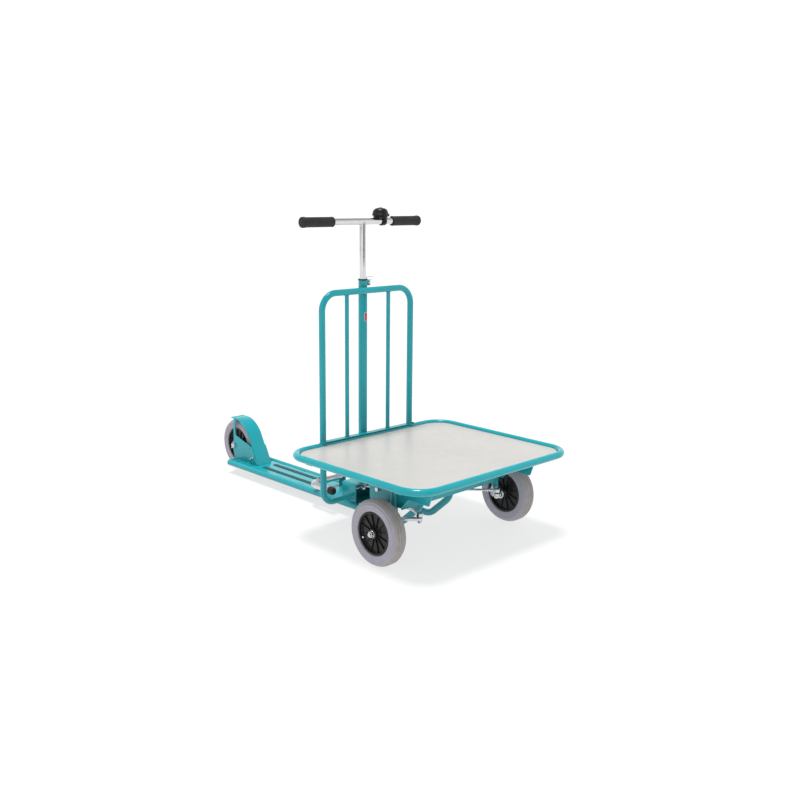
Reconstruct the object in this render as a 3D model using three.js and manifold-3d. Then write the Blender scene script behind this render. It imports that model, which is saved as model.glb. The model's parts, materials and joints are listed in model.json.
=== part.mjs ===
// A three-wheeled kick scooter with a load platform over its two front wheels.
// Millimetres, +Z up. The rider stands on the low rear deck and looks along -Y, so +X is the rider's left.
// The origin is on the floor, under the middle of the vehicle.

import * as THREE from "three";
import { mergeVertices } from "three/addons/utils/BufferGeometryUtils.js";
import Module from "manifold-3d";

// ---------------------------------------------------------------- driving dimensions

const GAP = 0.3; // clearance between pieces that touch or are welded
const ROUND = 20; // facets round a turned piece
const TUBE_ROUND = 12; // facets round a bent tube

const PLATFORM = {
  y: -414.75, halfX: 341, halfY: 289.75, z: 269.5, tube: 11, corner: 75,
  boardTop: 272, boardThick: 10, barWidth: 30, barThick: 8.2, barHalf: 333.5,
};
const BACKREST = {
  y: -124.3, halfX: 194, top: 757.5, tube: 10.3, corner: 55, barX: 91, barTube: 6.75,
  railThick: 2, railFront: -134,
};
const COLUMN = { y: -99.2, bottom: 114.3, top: 765.5, outer: 14.5, inner: 13.4 };
const STEERING = { outer: 12.2, inner: 11.2, bottom: 80, top: 789 };
const COLLAR = { bottom: 768.6, lugBottom: 771, lugX: 28, lugHalfY: 7, slit: 2, boltX: 21, boltZ: 780 };
const HANDLE = {
  z: 977, tube: 10.8, half: 249, stemBottom: 600, gripIn: 126, gripOut: 252, grip: 15.8, flange: 17,
};
const BELL = { x: 77, ringX: 86, ringWidth: 18, cup: 24, dome: 27.5, top: 1021 };

const DECK = {
  tubeX: 66, tube: 11.2, z: 40.3, rear: 603, bendY: -356, riseY: -445, riseZ: 118, bend: 60, plateTop: 47,
};
const BRIDGE = { front: -134, rear: -67, halfX: 65, top: 114, thick: 5 };
const LOWER_LEG = { z: 75, bend: 42 };
const GRIP_STRIP = { x: 25, half: 8, front: 118, rear: 435, thick: 1.7 };
const BEAM = { halfX: 217.5, halfY: 20, bottom: 155, thick: 4 };
const STRINGER = { thick: 4, rear: -387, front: -655, bottom: 165, frontBottom: 198, slant: 20 };

const WHEEL = { radius: 100, rim: 65, frontHalf: 25, rearHalf: 20, x: 293, axle: 6, bore: 6.4 };
const FRONT_AXLE_Y = -493;
const REAR_AXLE_Y = 615;
const KINGPIN = { x: 229, pin: 7, bore: 7.4, outer: 11, bottom: 133, top: 236 };
const ARM = { inward: 54, forward: 52, z: 122, thick: 8, width: 16 };
const PITMAN = { half: 40, bottom: 87.5, top: 91.5, hub: 17, width: 18 };
const LINK = { rod: 3.5, highZ: 97, lowZ: 82, knuckleZ: 140, eye: 9, cup: 10.5, stud: 4 };

const FORK = {
  x: 30.3, thick: 3.5, bottom: 44, front: 488, nose: 465, heel: 611, lobe: 16, strutTop: 204,
};
const GUARD = { half: 30, inner: 105, thick: 3, foot: [466, 47.3], tail: [635, 206.5] };
const STAND = {
  y: 65, z: 80, x: 95, tube: 11, bend: 28, footTip: -62, footLength: 24, foot: 13.5, bracketX: 50,
};

const WHEEL_Z = WHEEL.radius;
const BOARD_BOTTOM = PLATFORM.boardTop - PLATFORM.boardThick;
const BAR_TOP = BOARD_BOTTOM - GAP;
const BAR_BOTTOM = BAR_TOP - PLATFORM.barThick;

const FINISHES = {
  enamel: { color: 0x1c98a4, roughness: 0.32, metalness: 0.1 },
  laminate: { color: 0xdcdad6, roughness: 0.35, metalness: 0 },
  chrome: { color: 0xd9dbde, roughness: 0.15, metalness: 1 },
  zinc: { color: 0xb9bcc0, roughness: 0.35, metalness: 1 },
  tyre: { color: 0x8d8b90, roughness: 0.8, metalness: 0 },
  plastic: { color: 0x17181a, roughness: 0.45, metalness: 0 },
  rubber: { color: 0x1d1d1f, roughness: 0.75, metalness: 0 },
  strip: { color: 0x2c4a4c, roughness: 0.9, metalness: 0 },
};

// ---------------------------------------------------------------- helpers

const wasm = await Module();
wasm.setup();

/** A closed geometry as a manifold solid, for joining and cutting. */
function solidOf(geometry) {
  const plain = geometry.clone();
  plain.deleteAttribute("normal");
  plain.deleteAttribute("uv");
  const merged = mergeVertices(plain, 1e-4);
  const triVerts = [];
  for (let i = 0; i < merged.index.count; i += 3) {
    const [a, b, c] = [0, 1, 2].map((k) => merged.index.getX(i + k));
    if (a !== b && b !== c && c !== a) triVerts.push(a, b, c);
  }
  return new wasm.Manifold(
    new wasm.Mesh({
      numProp: 3,
      vertProperties: merged.attributes.position.array,
      triVerts: new Uint32Array(triVerts),
    }),
  );
}

function geometryOf(solid) {
  const mesh = solid.getMesh();
  return new THREE.BufferGeometry()
    .setAttribute("position", new THREE.BufferAttribute(mesh.vertProperties, 3))
    .setIndex(new THREE.BufferAttribute(mesh.triVerts, 1));
}

const join = (...parts) => geometryOf(parts.map(solidOf).reduce((sum, part) => sum.add(part)));
const cut = (base, ...tools) =>
  geometryOf(tools.map(solidOf).reduce((rest, tool) => rest.subtract(tool), solidOf(base)));

/** A path of straight runs and round bends, sampled only at its ends and round its bends. */
class Route extends THREE.Curve {
  constructor(corners, bendRadius, bendSteps = 5) {
    super();
    const points = corners.map((c) => new THREE.Vector3(...c));
    const unit = (a, b) => b.clone().sub(a).normalize();
    this.stations = [{ point: points[0], tangent: unit(points[0], points[1]) }];
    for (let i = 1; i < points.length - 1; i++) {
      const before = unit(points[i - 1], points[i]);
      const after = unit(points[i], points[i + 1]);
      const turn = before.angleTo(after);
      const reach = bendRadius * Math.tan(turn / 2);
      const start = points[i].clone().addScaledVector(before, -reach);
      const inward = after.clone().addScaledVector(before, -before.dot(after)).normalize();
      for (let k = 0; k <= bendSteps; k++) {
        const a = (turn * k) / bendSteps;
        this.stations.push({
          point: start.clone().addScaledVector(before, bendRadius * Math.sin(a))
            .addScaledVector(inward, bendRadius * (1 - Math.cos(a))),
          tangent: before.clone().multiplyScalar(Math.cos(a)).addScaledVector(inward, Math.sin(a)),
        });
      }
    }
    const last = points.length - 1;
    this.stations.push({ point: points[last], tangent: unit(points[last - 1], points[last]) });
  }
  get steps() {
    return this.stations.length - 1;
  }
  station(u) {
    return this.stations[Math.round(u * this.steps)];
  }
  getPointAt(u) {
    return this.station(u).point.clone();
  }
  getTangentAt(u) {
    return this.station(u).tangent.clone();
  }
}

/** A round bar or tube, filled, along a route. */
function tube(route, radius, sides = TUBE_ROUND) {
  const section = new THREE.Shape().absarc(0, 0, radius, 0, 2 * Math.PI);
  return new THREE.ExtrudeGeometry(section, {
    steps: route.steps, curveSegments: sides / 2, bevelEnabled: false, extrudePath: route,
  });
}

/** A cylinder between two points. */
function rod(from, to, radius, sides = TUBE_ROUND) {
  const a = new THREE.Vector3(...from);
  const along = new THREE.Vector3(...to).sub(a);
  const up = new THREE.Vector3(0, 1, 0);
  const turn = new THREE.Quaternion().setFromUnitVectors(up, along.clone().normalize());
  const middle = a.clone().addScaledVector(along, 0.5);
  return new THREE.CylinderGeometry(radius, radius, along.length(), sides)
    .applyMatrix4(new THREE.Matrix4().compose(middle, turn, new THREE.Vector3(1, 1, 1)));
}

/** A box given by its lowest and highest corners. */
function box(low, high) {
  const size = high.map((h, i) => h - low[i]);
  return new THREE.BoxGeometry(...size).translate(...low.map((l, i) => l + size[i] / 2));
}

/** A turned piece about the X, Y or Z axis, from a profile of [radius, position] pairs.
    A profile that starts on the axis also ends on it; any other closes on itself. */
function turned(profile, axis, sides = ROUND) {
  const area = profile.reduce((sum, [r, h], i) => {
    const [r2, h2] = profile[(i + 1) % profile.length];
    return sum + r * h2 - r2 * h;
  }, 0);
  const loop = area > 0 ? [...profile] : [...profile].reverse();
  const outline = profile[0][0] === 0 ? loop : [...loop, loop[0]];
  const geometry = new THREE.LatheGeometry(outline.map(([r, h]) => new THREE.Vector2(r, h)), sides);
  if (axis === "x") geometry.rotateZ(-Math.PI / 2);
  if (axis === "z") geometry.rotateX(Math.PI / 2);
  return geometry;
}

/** A hexagon nut with a round hole, along X, placed on its axis. */
function nut(from, to) {
  const [low, high] = [Math.min(from, to), Math.max(from, to)];
  return cut(rod([low, 0, 0], [high, 0, 0], 10, 6), rod([low - 5, 0, 0], [high + 5, 0, 0], WHEEL.bore, 16));
}

/** A ring: the profile of a tube or washer between two places along its axis. */
const ring = (inner, outer, from, to, axis, sides) =>
  turned([[inner, from], [outer, from], [outer, to], [inner, to]], axis, sides);

/** A flat outline with straight edges. */
const polygon = (points) => new THREE.Shape(points.map((p) => new THREE.Vector2(...p)));

/** A plate whose outline lies in the Y-Z plane, between two X values. */
function sidePlate(outline, fromX, toX, holes = []) {
  const shape = outline instanceof THREE.Shape ? outline : polygon(outline);
  for (const [y, z, r] of holes) shape.holes.push(new THREE.Path().absarc(y, z, r, 0, 2 * Math.PI, true));
  const [low, high] = fromX < toX ? [fromX, toX] : [toX, fromX];
  return new THREE.ExtrudeGeometry(shape, { depth: high - low, bevelEnabled: false, curveSegments: 8 })
    .rotateY(Math.PI / 2).rotateX(Math.PI / 2).translate(low, 0, 0);
}

/** A plate whose outline lies in the X-Z plane, between two Y values. */
function crossPlate(outline, fromY, toY) {
  return new THREE.ExtrudeGeometry(polygon(outline), { depth: toY - fromY, bevelEnabled: false })
    .rotateX(Math.PI / 2).translate(0, toY, 0);
}

const trolley = new THREE.Group();

function piece(name, geometry, finish, place = [0, 0, 0], group = trolley) {
  const mesh = new THREE.Mesh(geometry, new THREE.MeshStandardMaterial(FINISHES[finish]));
  mesh.name = name;
  mesh.position.set(...place);
  group.add(mesh);
  return mesh;
}

const SIDES = [["left", 1], ["right", -1]];

// ---------------------------------------------------------------- platform

const rimRear = PLATFORM.y + PLATFORM.halfY;
const rimFront = PLATFORM.y - PLATFORM.halfY;

/** Room cut out of a piece that ends against the platform's rear tube. */
function rearTubeRoom() {
  const end = PLATFORM.halfX - PLATFORM.corner;
  return rod([-end, rimRear, PLATFORM.z], [end, rimRear, PLATFORM.z], PLATFORM.tube + GAP, TUBE_ROUND * 2);
}

function platform() {
  const lap = 10; // the two half loops lap on the middle of the front and rear tubes
  const half = (side) =>
    tube(new Route([
      [-side * lap, rimRear, PLATFORM.z], [side * PLATFORM.halfX, rimRear, PLATFORM.z],
      [side * PLATFORM.halfX, rimFront, PLATFORM.z], [-side * lap, rimFront, PLATFORM.z],
    ], PLATFORM.corner), PLATFORM.tube);
  piece("platform_rim", join(half(1), half(-1)), "enamel");

  const inset = PLATFORM.tube + 1.2;
  const halfX = PLATFORM.halfX - inset;
  const halfY = PLATFORM.halfY - inset;
  const r = PLATFORM.corner - inset;
  const outline = new THREE.Shape();
  [[1, 1], [-1, 1], [-1, -1], [1, -1]].forEach(([sx, sy], i) =>
    outline.absarc(sx * (halfX - r), sy * (halfY - r), r, (i * Math.PI) / 2, ((i + 1) * Math.PI) / 2));
  const board = new THREE.ExtrudeGeometry(outline, {
    depth: PLATFORM.boardThick, bevelEnabled: false, curveSegments: 5,
  });
  piece("platform_board", board, "laminate", [0, PLATFORM.y, BOARD_BOTTOM]);

  const bars = { front: -612, middle: DECK.riseY, rear: -222 };
  for (const [place, y] of Object.entries(bars))
    piece(`platform_crossbar_${place}`, box(
      [-PLATFORM.barHalf, y - PLATFORM.barWidth / 2, BAR_BOTTOM],
      [PLATFORM.barHalf, y + PLATFORM.barWidth / 2, BAR_TOP]), "enamel");

  piece("rim_plug", turned([[0, 0], [5, 0], [5, 2.5], [3, 3.5], [0, 3.5]], "z", 12), "plastic",
    [211, rimRear, PLATFORM.z + PLATFORM.tube + GAP]);
}

// ---------------------------------------------------------------- backrest and column

function backrest() {
  const { y, halfX, top, tube: r, corner, barX, barTube, railThick, railFront } = BACKREST;
  const foot = PLATFORM.z + GAP;
  const loop = new Route([[-halfX, y, foot], [-halfX, y, top], [halfX, y, top], [halfX, y, foot]], corner);
  const railBottom = PLATFORM.z + PLATFORM.tube + GAP; // a flat rail lies along the platform's rear tube
  const railTop = railBottom + railThick;
  const railEnd = halfX - r + 1;
  const railRear = COLUMN.y - COLUMN.outer - GAP;
  const rail = box([-railEnd, railFront, railBottom], [railEnd, railRear, railTop]);
  piece("backrest_hoop", join(cut(tube(loop, r), rearTubeRoom()), rail), "enamel");

  const straight = halfX - corner;
  const topTubeRoom = () => rod([-straight, y, top], [straight, y, top], r + GAP, TUBE_ROUND * 2);
  for (const [side, s] of SIDES) {
    const bar = rod([s * barX, y, railTop + GAP], [s * barX, y, top], barTube);
    piece(`backrest_bar_${side}`, cut(bar, topTubeRoom()), "enamel");
    const lower = tube(new Route([
      [s * halfX, y, PLATFORM.z - GAP], [s * halfX, y, LOWER_LEG.z],
      [s * (BRIDGE.halfX + GAP), y, LOWER_LEG.z],
    ], LOWER_LEG.bend), r);
    piece(`lower_leg_${side}`, cut(lower, rearTubeRoom()), "enamel");
  }
}

function column() {
  const { y, bottom, top, outer, inner } = COLUMN;
  piece("steering_column", ring(inner, outer, bottom, top, "z"), "enamel", [0, y, 0]);

  const sleeve = 24;
  const bushOuter = inner - GAP;
  const bushInner = STEERING.outer + GAP;
  const bottomBush = ring(bushInner, bushOuter, bottom + GAP, bottom + sleeve, "z");
  piece("column_bush_bottom", bottomBush, "plastic", [0, y, 0]);
  const flangeTop = COLLAR.bottom - GAP;
  piece("column_bush_top", turned([
    [bushInner, top - sleeve], [bushOuter, top - sleeve], [bushOuter, top + GAP],
    [outer, top + GAP], [outer, flangeTop], [bushInner, flangeTop],
  ], "z"), "plastic", [0, y, 0]);
}

// ---------------------------------------------------------------- deck, front underframe and rear fork

function chassis() {
  const { tubeX, tube: r, z, rear, bendY, riseY, riseZ, bend, plateTop } = DECK;
  for (const [side, s] of SIDES) {
    const x = s * tubeX;
    const corners = [[x, rear, z], [x, bendY, z], [x, riseY, riseZ], [x, riseY, BAR_BOTTOM - GAP]];
    const route = new Route(corners, bend);
    piece(`chassis_tube_${side}`, tube(route, r), "enamel");
  }
  const plateHalf = tubeX - r - GAP;
  const plate = box([-plateHalf, BRIDGE.front, plateTop - 3], [plateHalf, FORK.front - 3, plateTop]);
  piece("deck_plate", plate, "enamel");
  for (const [side, s] of SIDES) {
    const low = [s * GRIP_STRIP.x - GRIP_STRIP.half, GRIP_STRIP.front, plateTop + GAP];
    const high = [s * GRIP_STRIP.x + GRIP_STRIP.half, GRIP_STRIP.rear, plateTop + GAP + GRIP_STRIP.thick];
    piece(`grip_strip_${side}`, box(low, high), "strip");
  }

  const { front, rear: back, halfX, top, thick } = BRIDGE;
  const legBottom = z + r + GAP;
  const arch = [
    [-halfX, legBottom], [-halfX + thick, legBottom], [-halfX + thick, top - thick],
    [halfX - thick, top - thick], [halfX - thick, legBottom], [halfX, legBottom], [halfX, top], [-halfX, top],
  ];
  const y = COLUMN.y;
  const shaftRoom = rod([0, y, top - 2 * thick], [0, y, top + thick], STEERING.outer + 0.7, ROUND);
  const rearWall = box([-halfX, back - thick, plateTop + GAP], [halfX, back, top]);
  const tubeRoom = (s) => rod([s * tubeX, front, z], [s * tubeX, back + thick, z], r + GAP);
  const bridge = join(crossPlate(arch, front, back), rearWall);
  piece("steering_bridge", cut(bridge, shaftRoom, tubeRoom(1), tubeRoom(-1)), "enamel");
}

function underframe() {
  const { halfX, halfY, bottom, thick } = BEAM;
  const channel = [
    [FRONT_AXLE_Y - halfY, bottom], [FRONT_AXLE_Y - halfY + thick, bottom],
    [FRONT_AXLE_Y - halfY + thick, BAR_TOP - thick], [FRONT_AXLE_Y + halfY - thick, BAR_TOP - thick],
    [FRONT_AXLE_Y + halfY - thick, bottom], [FRONT_AXLE_Y + halfY, bottom],
    [FRONT_AXLE_Y + halfY, BAR_TOP], [FRONT_AXLE_Y - halfY, BAR_TOP],
  ];
  piece("axle_beam", sidePlate(channel, -halfX, halfX), "enamel");

  const top = BAR_BOTTOM - GAP;
  const { front, rear, slant, frontBottom, bottom: webBottom, thick: web } = STRINGER;
  const notch = KINGPIN.outer + GAP; // the kingpin sleeve stands in the stringer's own plane
  const outline = [
    [front + slant, frontBottom], [FRONT_AXLE_Y - 60, frontBottom], [FRONT_AXLE_Y - 30, webBottom],
    [FRONT_AXLE_Y - notch, webBottom], [FRONT_AXLE_Y - notch, KINGPIN.top + GAP],
    [FRONT_AXLE_Y + notch, KINGPIN.top + GAP], [FRONT_AXLE_Y + notch, webBottom],
    [rear, webBottom], [rear, top], [front, top],
  ];
  for (const [side, s] of SIDES) {
    const x = s * KINGPIN.x;
    piece(`stringer_${side}`, sidePlate(outline, x - web / 2, x + web / 2), "enamel");
    const sleeve = ring(KINGPIN.bore, KINGPIN.outer, KINGPIN.bottom, KINGPIN.top, "z", 16);
    piece(`kingpin_sleeve_${side}`, sleeve, "enamel", [x, FRONT_AXLE_Y, 0]);
  }
}

/** The point on a circle about the rear axle where a straight run from the given point is tangent to it. */
function tangentPoint([y, z], radius, turn) {
  const [dy, dz] = [y - REAR_AXLE_Y, z - WHEEL_Z];
  const angle = Math.atan2(dz, dy) + turn * Math.acos(radius / Math.hypot(dy, dz));
  return { angle, normal: [Math.cos(angle), Math.sin(angle)] };
}

function rearFork() {
  const { x, thick, bottom, front: plateFront, nose: noseFront, heel, lobe, strutTop } = FORK;
  const strut = { front: REAR_AXLE_Y - 10, rear: REAR_AXLE_Y + 2 };
  const nose = DECK.plateTop + GAP; // in front of the flange the plate stands over the deck
  const plate = polygon([
    [strut.rear, strutTop], [strut.front - 6, strutTop], [strut.front, strutTop - 22],
    [strut.front, 142], [499, 112], [noseFront, nose], [plateFront, nose],
    [plateFront, bottom], [heel, bottom],
  ]);
  plate.absarc(REAR_AXLE_Y, WHEEL_Z, lobe, -Math.PI / 3, Math.acos((strut.rear - REAR_AXLE_Y) / lobe));
  const flangeEdge = DECK.tubeX - DECK.tube - GAP;
  for (const [side, s] of SIDES) {
    const web = sidePlate(plate.clone(), s * x, s * (x + thick), [[REAR_AXLE_Y, WHEEL_Z, WHEEL.bore]]);
    const edges = [s * x, s * flangeEdge].sort((a, b) => a - b);
    const flange = box([edges[0], plateFront, bottom], [edges[1], heel, bottom + thick]);
    piece(`fork_plate_${side}`, join(web, flange), "enamel");
  }

  const outer = GUARD.inner + GUARD.thick;
  const front = tangentPoint(GUARD.foot, GUARD.inner, -1);
  const back = tangentPoint(GUARD.tail, outer, 1);
  const shifted = ([y, z], [ny, nz], d) => [y + ny * d, z + nz * d];
  const shape = new THREE.Shape();
  shape.moveTo(...shifted(GUARD.foot, front.normal, GUARD.thick));
  shape.lineTo(...GUARD.foot);
  shape.absarc(REAR_AXLE_Y, WHEEL_Z, GUARD.inner, front.angle, back.angle, true);
  shape.lineTo(...shifted(GUARD.tail, back.normal, -GUARD.thick));
  shape.lineTo(...GUARD.tail);
  shape.absarc(REAR_AXLE_Y, WHEEL_Z, outer, back.angle, front.angle, false);
  piece("mudguard", sidePlate(shape, -GUARD.half, GUARD.half), "enamel");

  const face = x + thick + GAP;
  piece("rear_axle", join(
    rod([-face - 7, REAR_AXLE_Y, WHEEL_Z], [-face, REAR_AXLE_Y, WHEEL_Z], 10, 6),
    rod([-face - 1, REAR_AXLE_Y, WHEEL_Z], [face + 10, REAR_AXLE_Y, WHEEL_Z], WHEEL.axle)), "zinc");
  piece("rear_axle_nut", nut(face, face + 7), "zinc", [0, REAR_AXLE_Y, WHEEL_Z]);
}

// ---------------------------------------------------------------- wheels

/** Tyre and rim about an axle along X, placed at the wheel's centre. */
function wheel(name, place, half, hubHalf) {
  const { radius, rim, bore } = WHEEL;
  const shoulder = half - 1.5;
  piece(`tyre_${name}`, turned([
    [rim + GAP, -half + 6], [rim + 5, -half + 1.5], [radius - 24, -half], [radius - 12, -shoulder],
    [radius - 4, -half + 8], [radius, -half + 16], [radius, half - 16], [radius - 4, half - 8],
    [radius - 12, shoulder], [radius - 24, half], [rim + 5, half - 1.5], [rim + GAP, half - 6],
  ], "x"), "tyre", place);
  const lip = half - 5;
  const web = half - 13;
  piece(`rim_${name}`, turned([
    [bore, -hubHalf], [15, -hubHalf], [17, -web], [rim - 8, -web], [rim - 7, -lip], [rim, -lip],
    [rim, lip], [rim - 7, lip], [rim - 8, web], [17, web], [15, hubHalf], [bore, hubHalf],
  ], "x"), "plastic", place);
}

function wheels() {
  wheel("rear", [0, REAR_AXLE_Y, WHEEL_Z], WHEEL.rearHalf, FORK.x - 1);
  for (const [side, s] of SIDES) {
    const hubHalf = WHEEL.frontHalf - 0.5;
    wheel(`front_${side}`, [s * WHEEL.x, FRONT_AXLE_Y, WHEEL_Z], WHEEL.frontHalf, hubHalf);
    const nutFrom = WHEEL.x + hubHalf + GAP;
    piece(`axle_nut_${side}`, nut(s * nutFrom, s * (nutFrom + 8)), "chrome", [0, FRONT_AXLE_Y, WHEEL_Z]);
  }
}

// ---------------------------------------------------------------- steering

/** The upright that turns on a kingpin and carries a front wheel, about its kingpin's foot. */
function knuckle(s) {
  const boss = [21, 38.2]; // the axle boss, outward of the kingpin
  const eye = [-s * ARM.inward, -ARM.forward];
  const armLength = Math.hypot(...eye);
  const arm = box([0, -ARM.width / 2, ARM.z], [armLength, ARM.width / 2, ARM.z + ARM.thick])
    .rotateZ(Math.atan2(eye[1], eye[0]));
  const blockX = [-s * 10, s * 26].sort((a, b) => a - b);
  return join(
    rod([0, 0, ARM.z], [0, 0, KINGPIN.top - 4], KINGPIN.pin),
    rod([0, 0, ARM.z], [0, 0, KINGPIN.bottom - GAP], KINGPIN.outer),
    box([blockX[0], -11, 100], [blockX[1], 11, ARM.z + ARM.thick - 2]),
    rod([s * boss[0], 0, WHEEL_Z], [s * boss[1], 0, WHEEL_Z], 14, 16),
    rod([s * boss[0], 0, WHEEL_Z], [s * 101, 0, WHEEL_Z], WHEEL.axle),
    arm,
    rod([...eye, ARM.z], [...eye, ARM.z + ARM.thick], ARM.width / 2 + 1),
    rod([...eye, ARM.z], [...eye, LINK.knuckleZ + 2], LINK.stud, 8),
  );
}

/** A rod with a blind socket at each end, from the pitman arm to the knuckle on the other side. */
function dragLink(s) {
  const near = [-s * PITMAN.half, COLUMN.y];
  const far = [s * (KINGPIN.x - ARM.inward), FRONT_AXLE_Y - ARM.forward];
  const nearZ = s > 0 ? LINK.highZ : LINK.lowZ;
  const up = s > 0 ? 1 : -1; // the left link lies on the pitman arm, the right one hangs under it
  const along = new THREE.Vector3(...far, LINK.knuckleZ).sub(new THREE.Vector3(...near, nearZ)).normalize();
  const inset = (point, d) => new THREE.Vector3(...point).addScaledVector(along, d).toArray();
  const eyeHalf = 4.7;
  const body = join(
    rod([...near, nearZ - eyeHalf], [...near, nearZ + eyeHalf], LINK.eye),
    rod([...far, LINK.knuckleZ - 6], [...far, LINK.knuckleZ + 6], LINK.cup, 16),
    rod(inset([...near, nearZ], 6.5), inset([...far, LINK.knuckleZ], -9), LINK.rod, 8),
  );
  return cut(body,
    rod([...near, nearZ - up * 7], [...near, nearZ + up * 3.5], LINK.stud + 0.6),
    rod([...far, LINK.knuckleZ - 8], [...far, LINK.knuckleZ + 4], LINK.cup - 2.5, 16));
}

function steering() {
  const { outer, inner, bottom, top } = STEERING;
  const y = COLUMN.y;
  piece("steering_tube", ring(inner, outer, bottom, top, "z"), "zinc", [0, y, 0]);

  const plate = join(
    rod([0, 0, PITMAN.bottom], [0, 0, PITMAN.top], PITMAN.hub, ROUND),
    box([-PITMAN.half, -PITMAN.width / 2, PITMAN.bottom], [PITMAN.half, PITMAN.width / 2, PITMAN.top]),
    rod([-PITMAN.half, 0, PITMAN.bottom], [-PITMAN.half, 0, PITMAN.top], PITMAN.width / 2),
    rod([PITMAN.half, 0, PITMAN.bottom], [PITMAN.half, 0, PITMAN.top], PITMAN.width / 2),
    rod([-PITMAN.half, 0, PITMAN.bottom], [-PITMAN.half, 0, LINK.highZ + 3], LINK.stud, 8),
    rod([PITMAN.half, 0, LINK.lowZ - 3], [PITMAN.half, 0, PITMAN.top], LINK.stud, 8),
  );
  const tubeRoom = rod([0, 0, PITMAN.bottom - 5], [0, 0, PITMAN.top + 5], outer + GAP, ROUND);
  piece("pitman_arm", cut(plate, tubeRoom), "zinc", [0, y, 0]);

  for (const [side, s] of SIDES) {
    piece(`knuckle_${side}`, knuckle(s), "zinc", [s * KINGPIN.x, FRONT_AXLE_Y, 0]);
    piece(`drag_link_${side}`, dragLink(s), "zinc");
  }
}

function clamp() {
  const { bottom, lugBottom, lugX, lugHalfY, slit, boltX, boltZ } = COLLAR;
  const top = STEERING.top;
  const y = COLUMN.y;
  const lug = box([COLUMN.outer - 2, -lugHalfY, lugBottom], [lugX, lugHalfY, top - 1]);
  const bore = rod([0, 0, bottom - 5], [0, 0, top + 5], STEERING.outer + GAP, ROUND);
  const gap = box([0, -slit / 2, bottom - 5], [lugX + 5, slit / 2, top + 5]);
  const boltHole = rod([boltX, -lugHalfY - 5, boltZ], [boltX, lugHalfY + 5, boltZ], 3.2);
  const band = rod([0, 0, bottom], [0, 0, top], COLUMN.outer, ROUND);
  piece("clamp_collar", cut(join(band, lug), bore, gap, boltHole), "enamel", [0, y, 0]);
  piece("stem_bush", ring(HANDLE.tube + 0.4, 16, top + GAP, top + 4, "z"), "plastic", [0, y, 0]);

  const pivotY = lugHalfY + 8; // the lever's cam turns on the bolt's eye, behind the lug
  piece("clamp_bolt", join(
    rod([boltX, -lugHalfY - 2.3, boltZ], [boltX, -lugHalfY - GAP, boltZ], 4.2, 12),
    rod([boltX, -lugHalfY - 2, boltZ], [boltX, pivotY, boltZ], 2.6, 8),
    rod([boltX, pivotY, boltZ - 8], [boltX, pivotY, boltZ + 8], 2.4, 8)), "zinc", [0, y, 0]);

  const cam = cut(
    rod([0, 0, -6], [0, 0, 7], 6.5, 16),
    rod([0, 0, -10], [0, 0, 10], 2.8, 12),
    box([-10, -10, -3.4], [3.4, 5.6, 3.4])); // room for the bolt's shank as the lever swings
  const blades = crossPlate([
    [3.6, -6], [6.4, -6], [6.4, 7], [30, 7], [30, 9], [6.4, 9],
    [6.4, 15.5], [38, 15.5], [38, 17.5], [3.6, 17.5],
  ], -5, 5);
  piece("clamp_lever", join(cam, blades), "chrome", [boltX, y + pivotY, boltZ]);
}

function handlebar() {
  const { z, tube: r, half, stemBottom, gripIn, gripOut, grip, flange } = HANDLE;
  const y = COLUMN.y;
  piece("handlebar_stem", rod([0, 0, stemBottom], [0, 0, z - r - GAP], r, ROUND), "chrome", [0, y, 0]);
  piece("handlebar_crossbar", rod([-half, 0, 0], [half, 0, 0], r, ROUND), "chrome", [0, y, z]);
  for (const [side, s] of SIDES) {
    const bore = r + GAP;
    const profile = [
      [0, half + GAP], [bore, half + GAP], [bore, gripIn], [grip, gripIn], [grip, gripOut - 16],
      [flange, gripOut - 11], [flange, gripOut - 3], [flange - 4, gripOut], [0, gripOut],
    ].map(([radius, at]) => [radius, s * at]);
    piece(`grip_${side}`, turned(profile, "x", 16), "rubber", [0, y, z]);
  }

  const { x, ringX, ringWidth, cup, dome, top } = BELL;
  const cupTop = 991.5;
  const base = join(
    rod([x, 0, z + r + 2], [x, 0, cupTop], cup, ROUND),
    rod([ringX - ringWidth / 2, 0, z], [ringX + ringWidth / 2, 0, z], r + 4, ROUND));
  const barRoom = rod([ringX - ringWidth, 0, z], [ringX + ringWidth, 0, z], r + GAP, ROUND);
  piece("bell_base", cut(base, barRoom), "plastic", [0, y, 0]);
  const leverTop = cupTop + GAP + 2.4;
  piece("bell_dome", turned([
    [0, leverTop + GAP], [dome, leverTop + GAP], [dome - 0.5, leverTop + 8], [dome - 6, top - 3],
    [dome - 15, top], [0, top],
  ], "z"), "plastic", [x, y, 0]);
  piece("bell_lever", join(
    rod([0, 0, cupTop + GAP], [0, 0, leverTop], 7),
    box([0, -4, cupTop + GAP], [dome + 8, 4, leverTop]),
    box([dome + 3, -7, cupTop + GAP], [dome + 9, 7, cupTop + 11])), "plastic", [x, y, 0]);
}

// ---------------------------------------------------------------- parking stand

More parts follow.
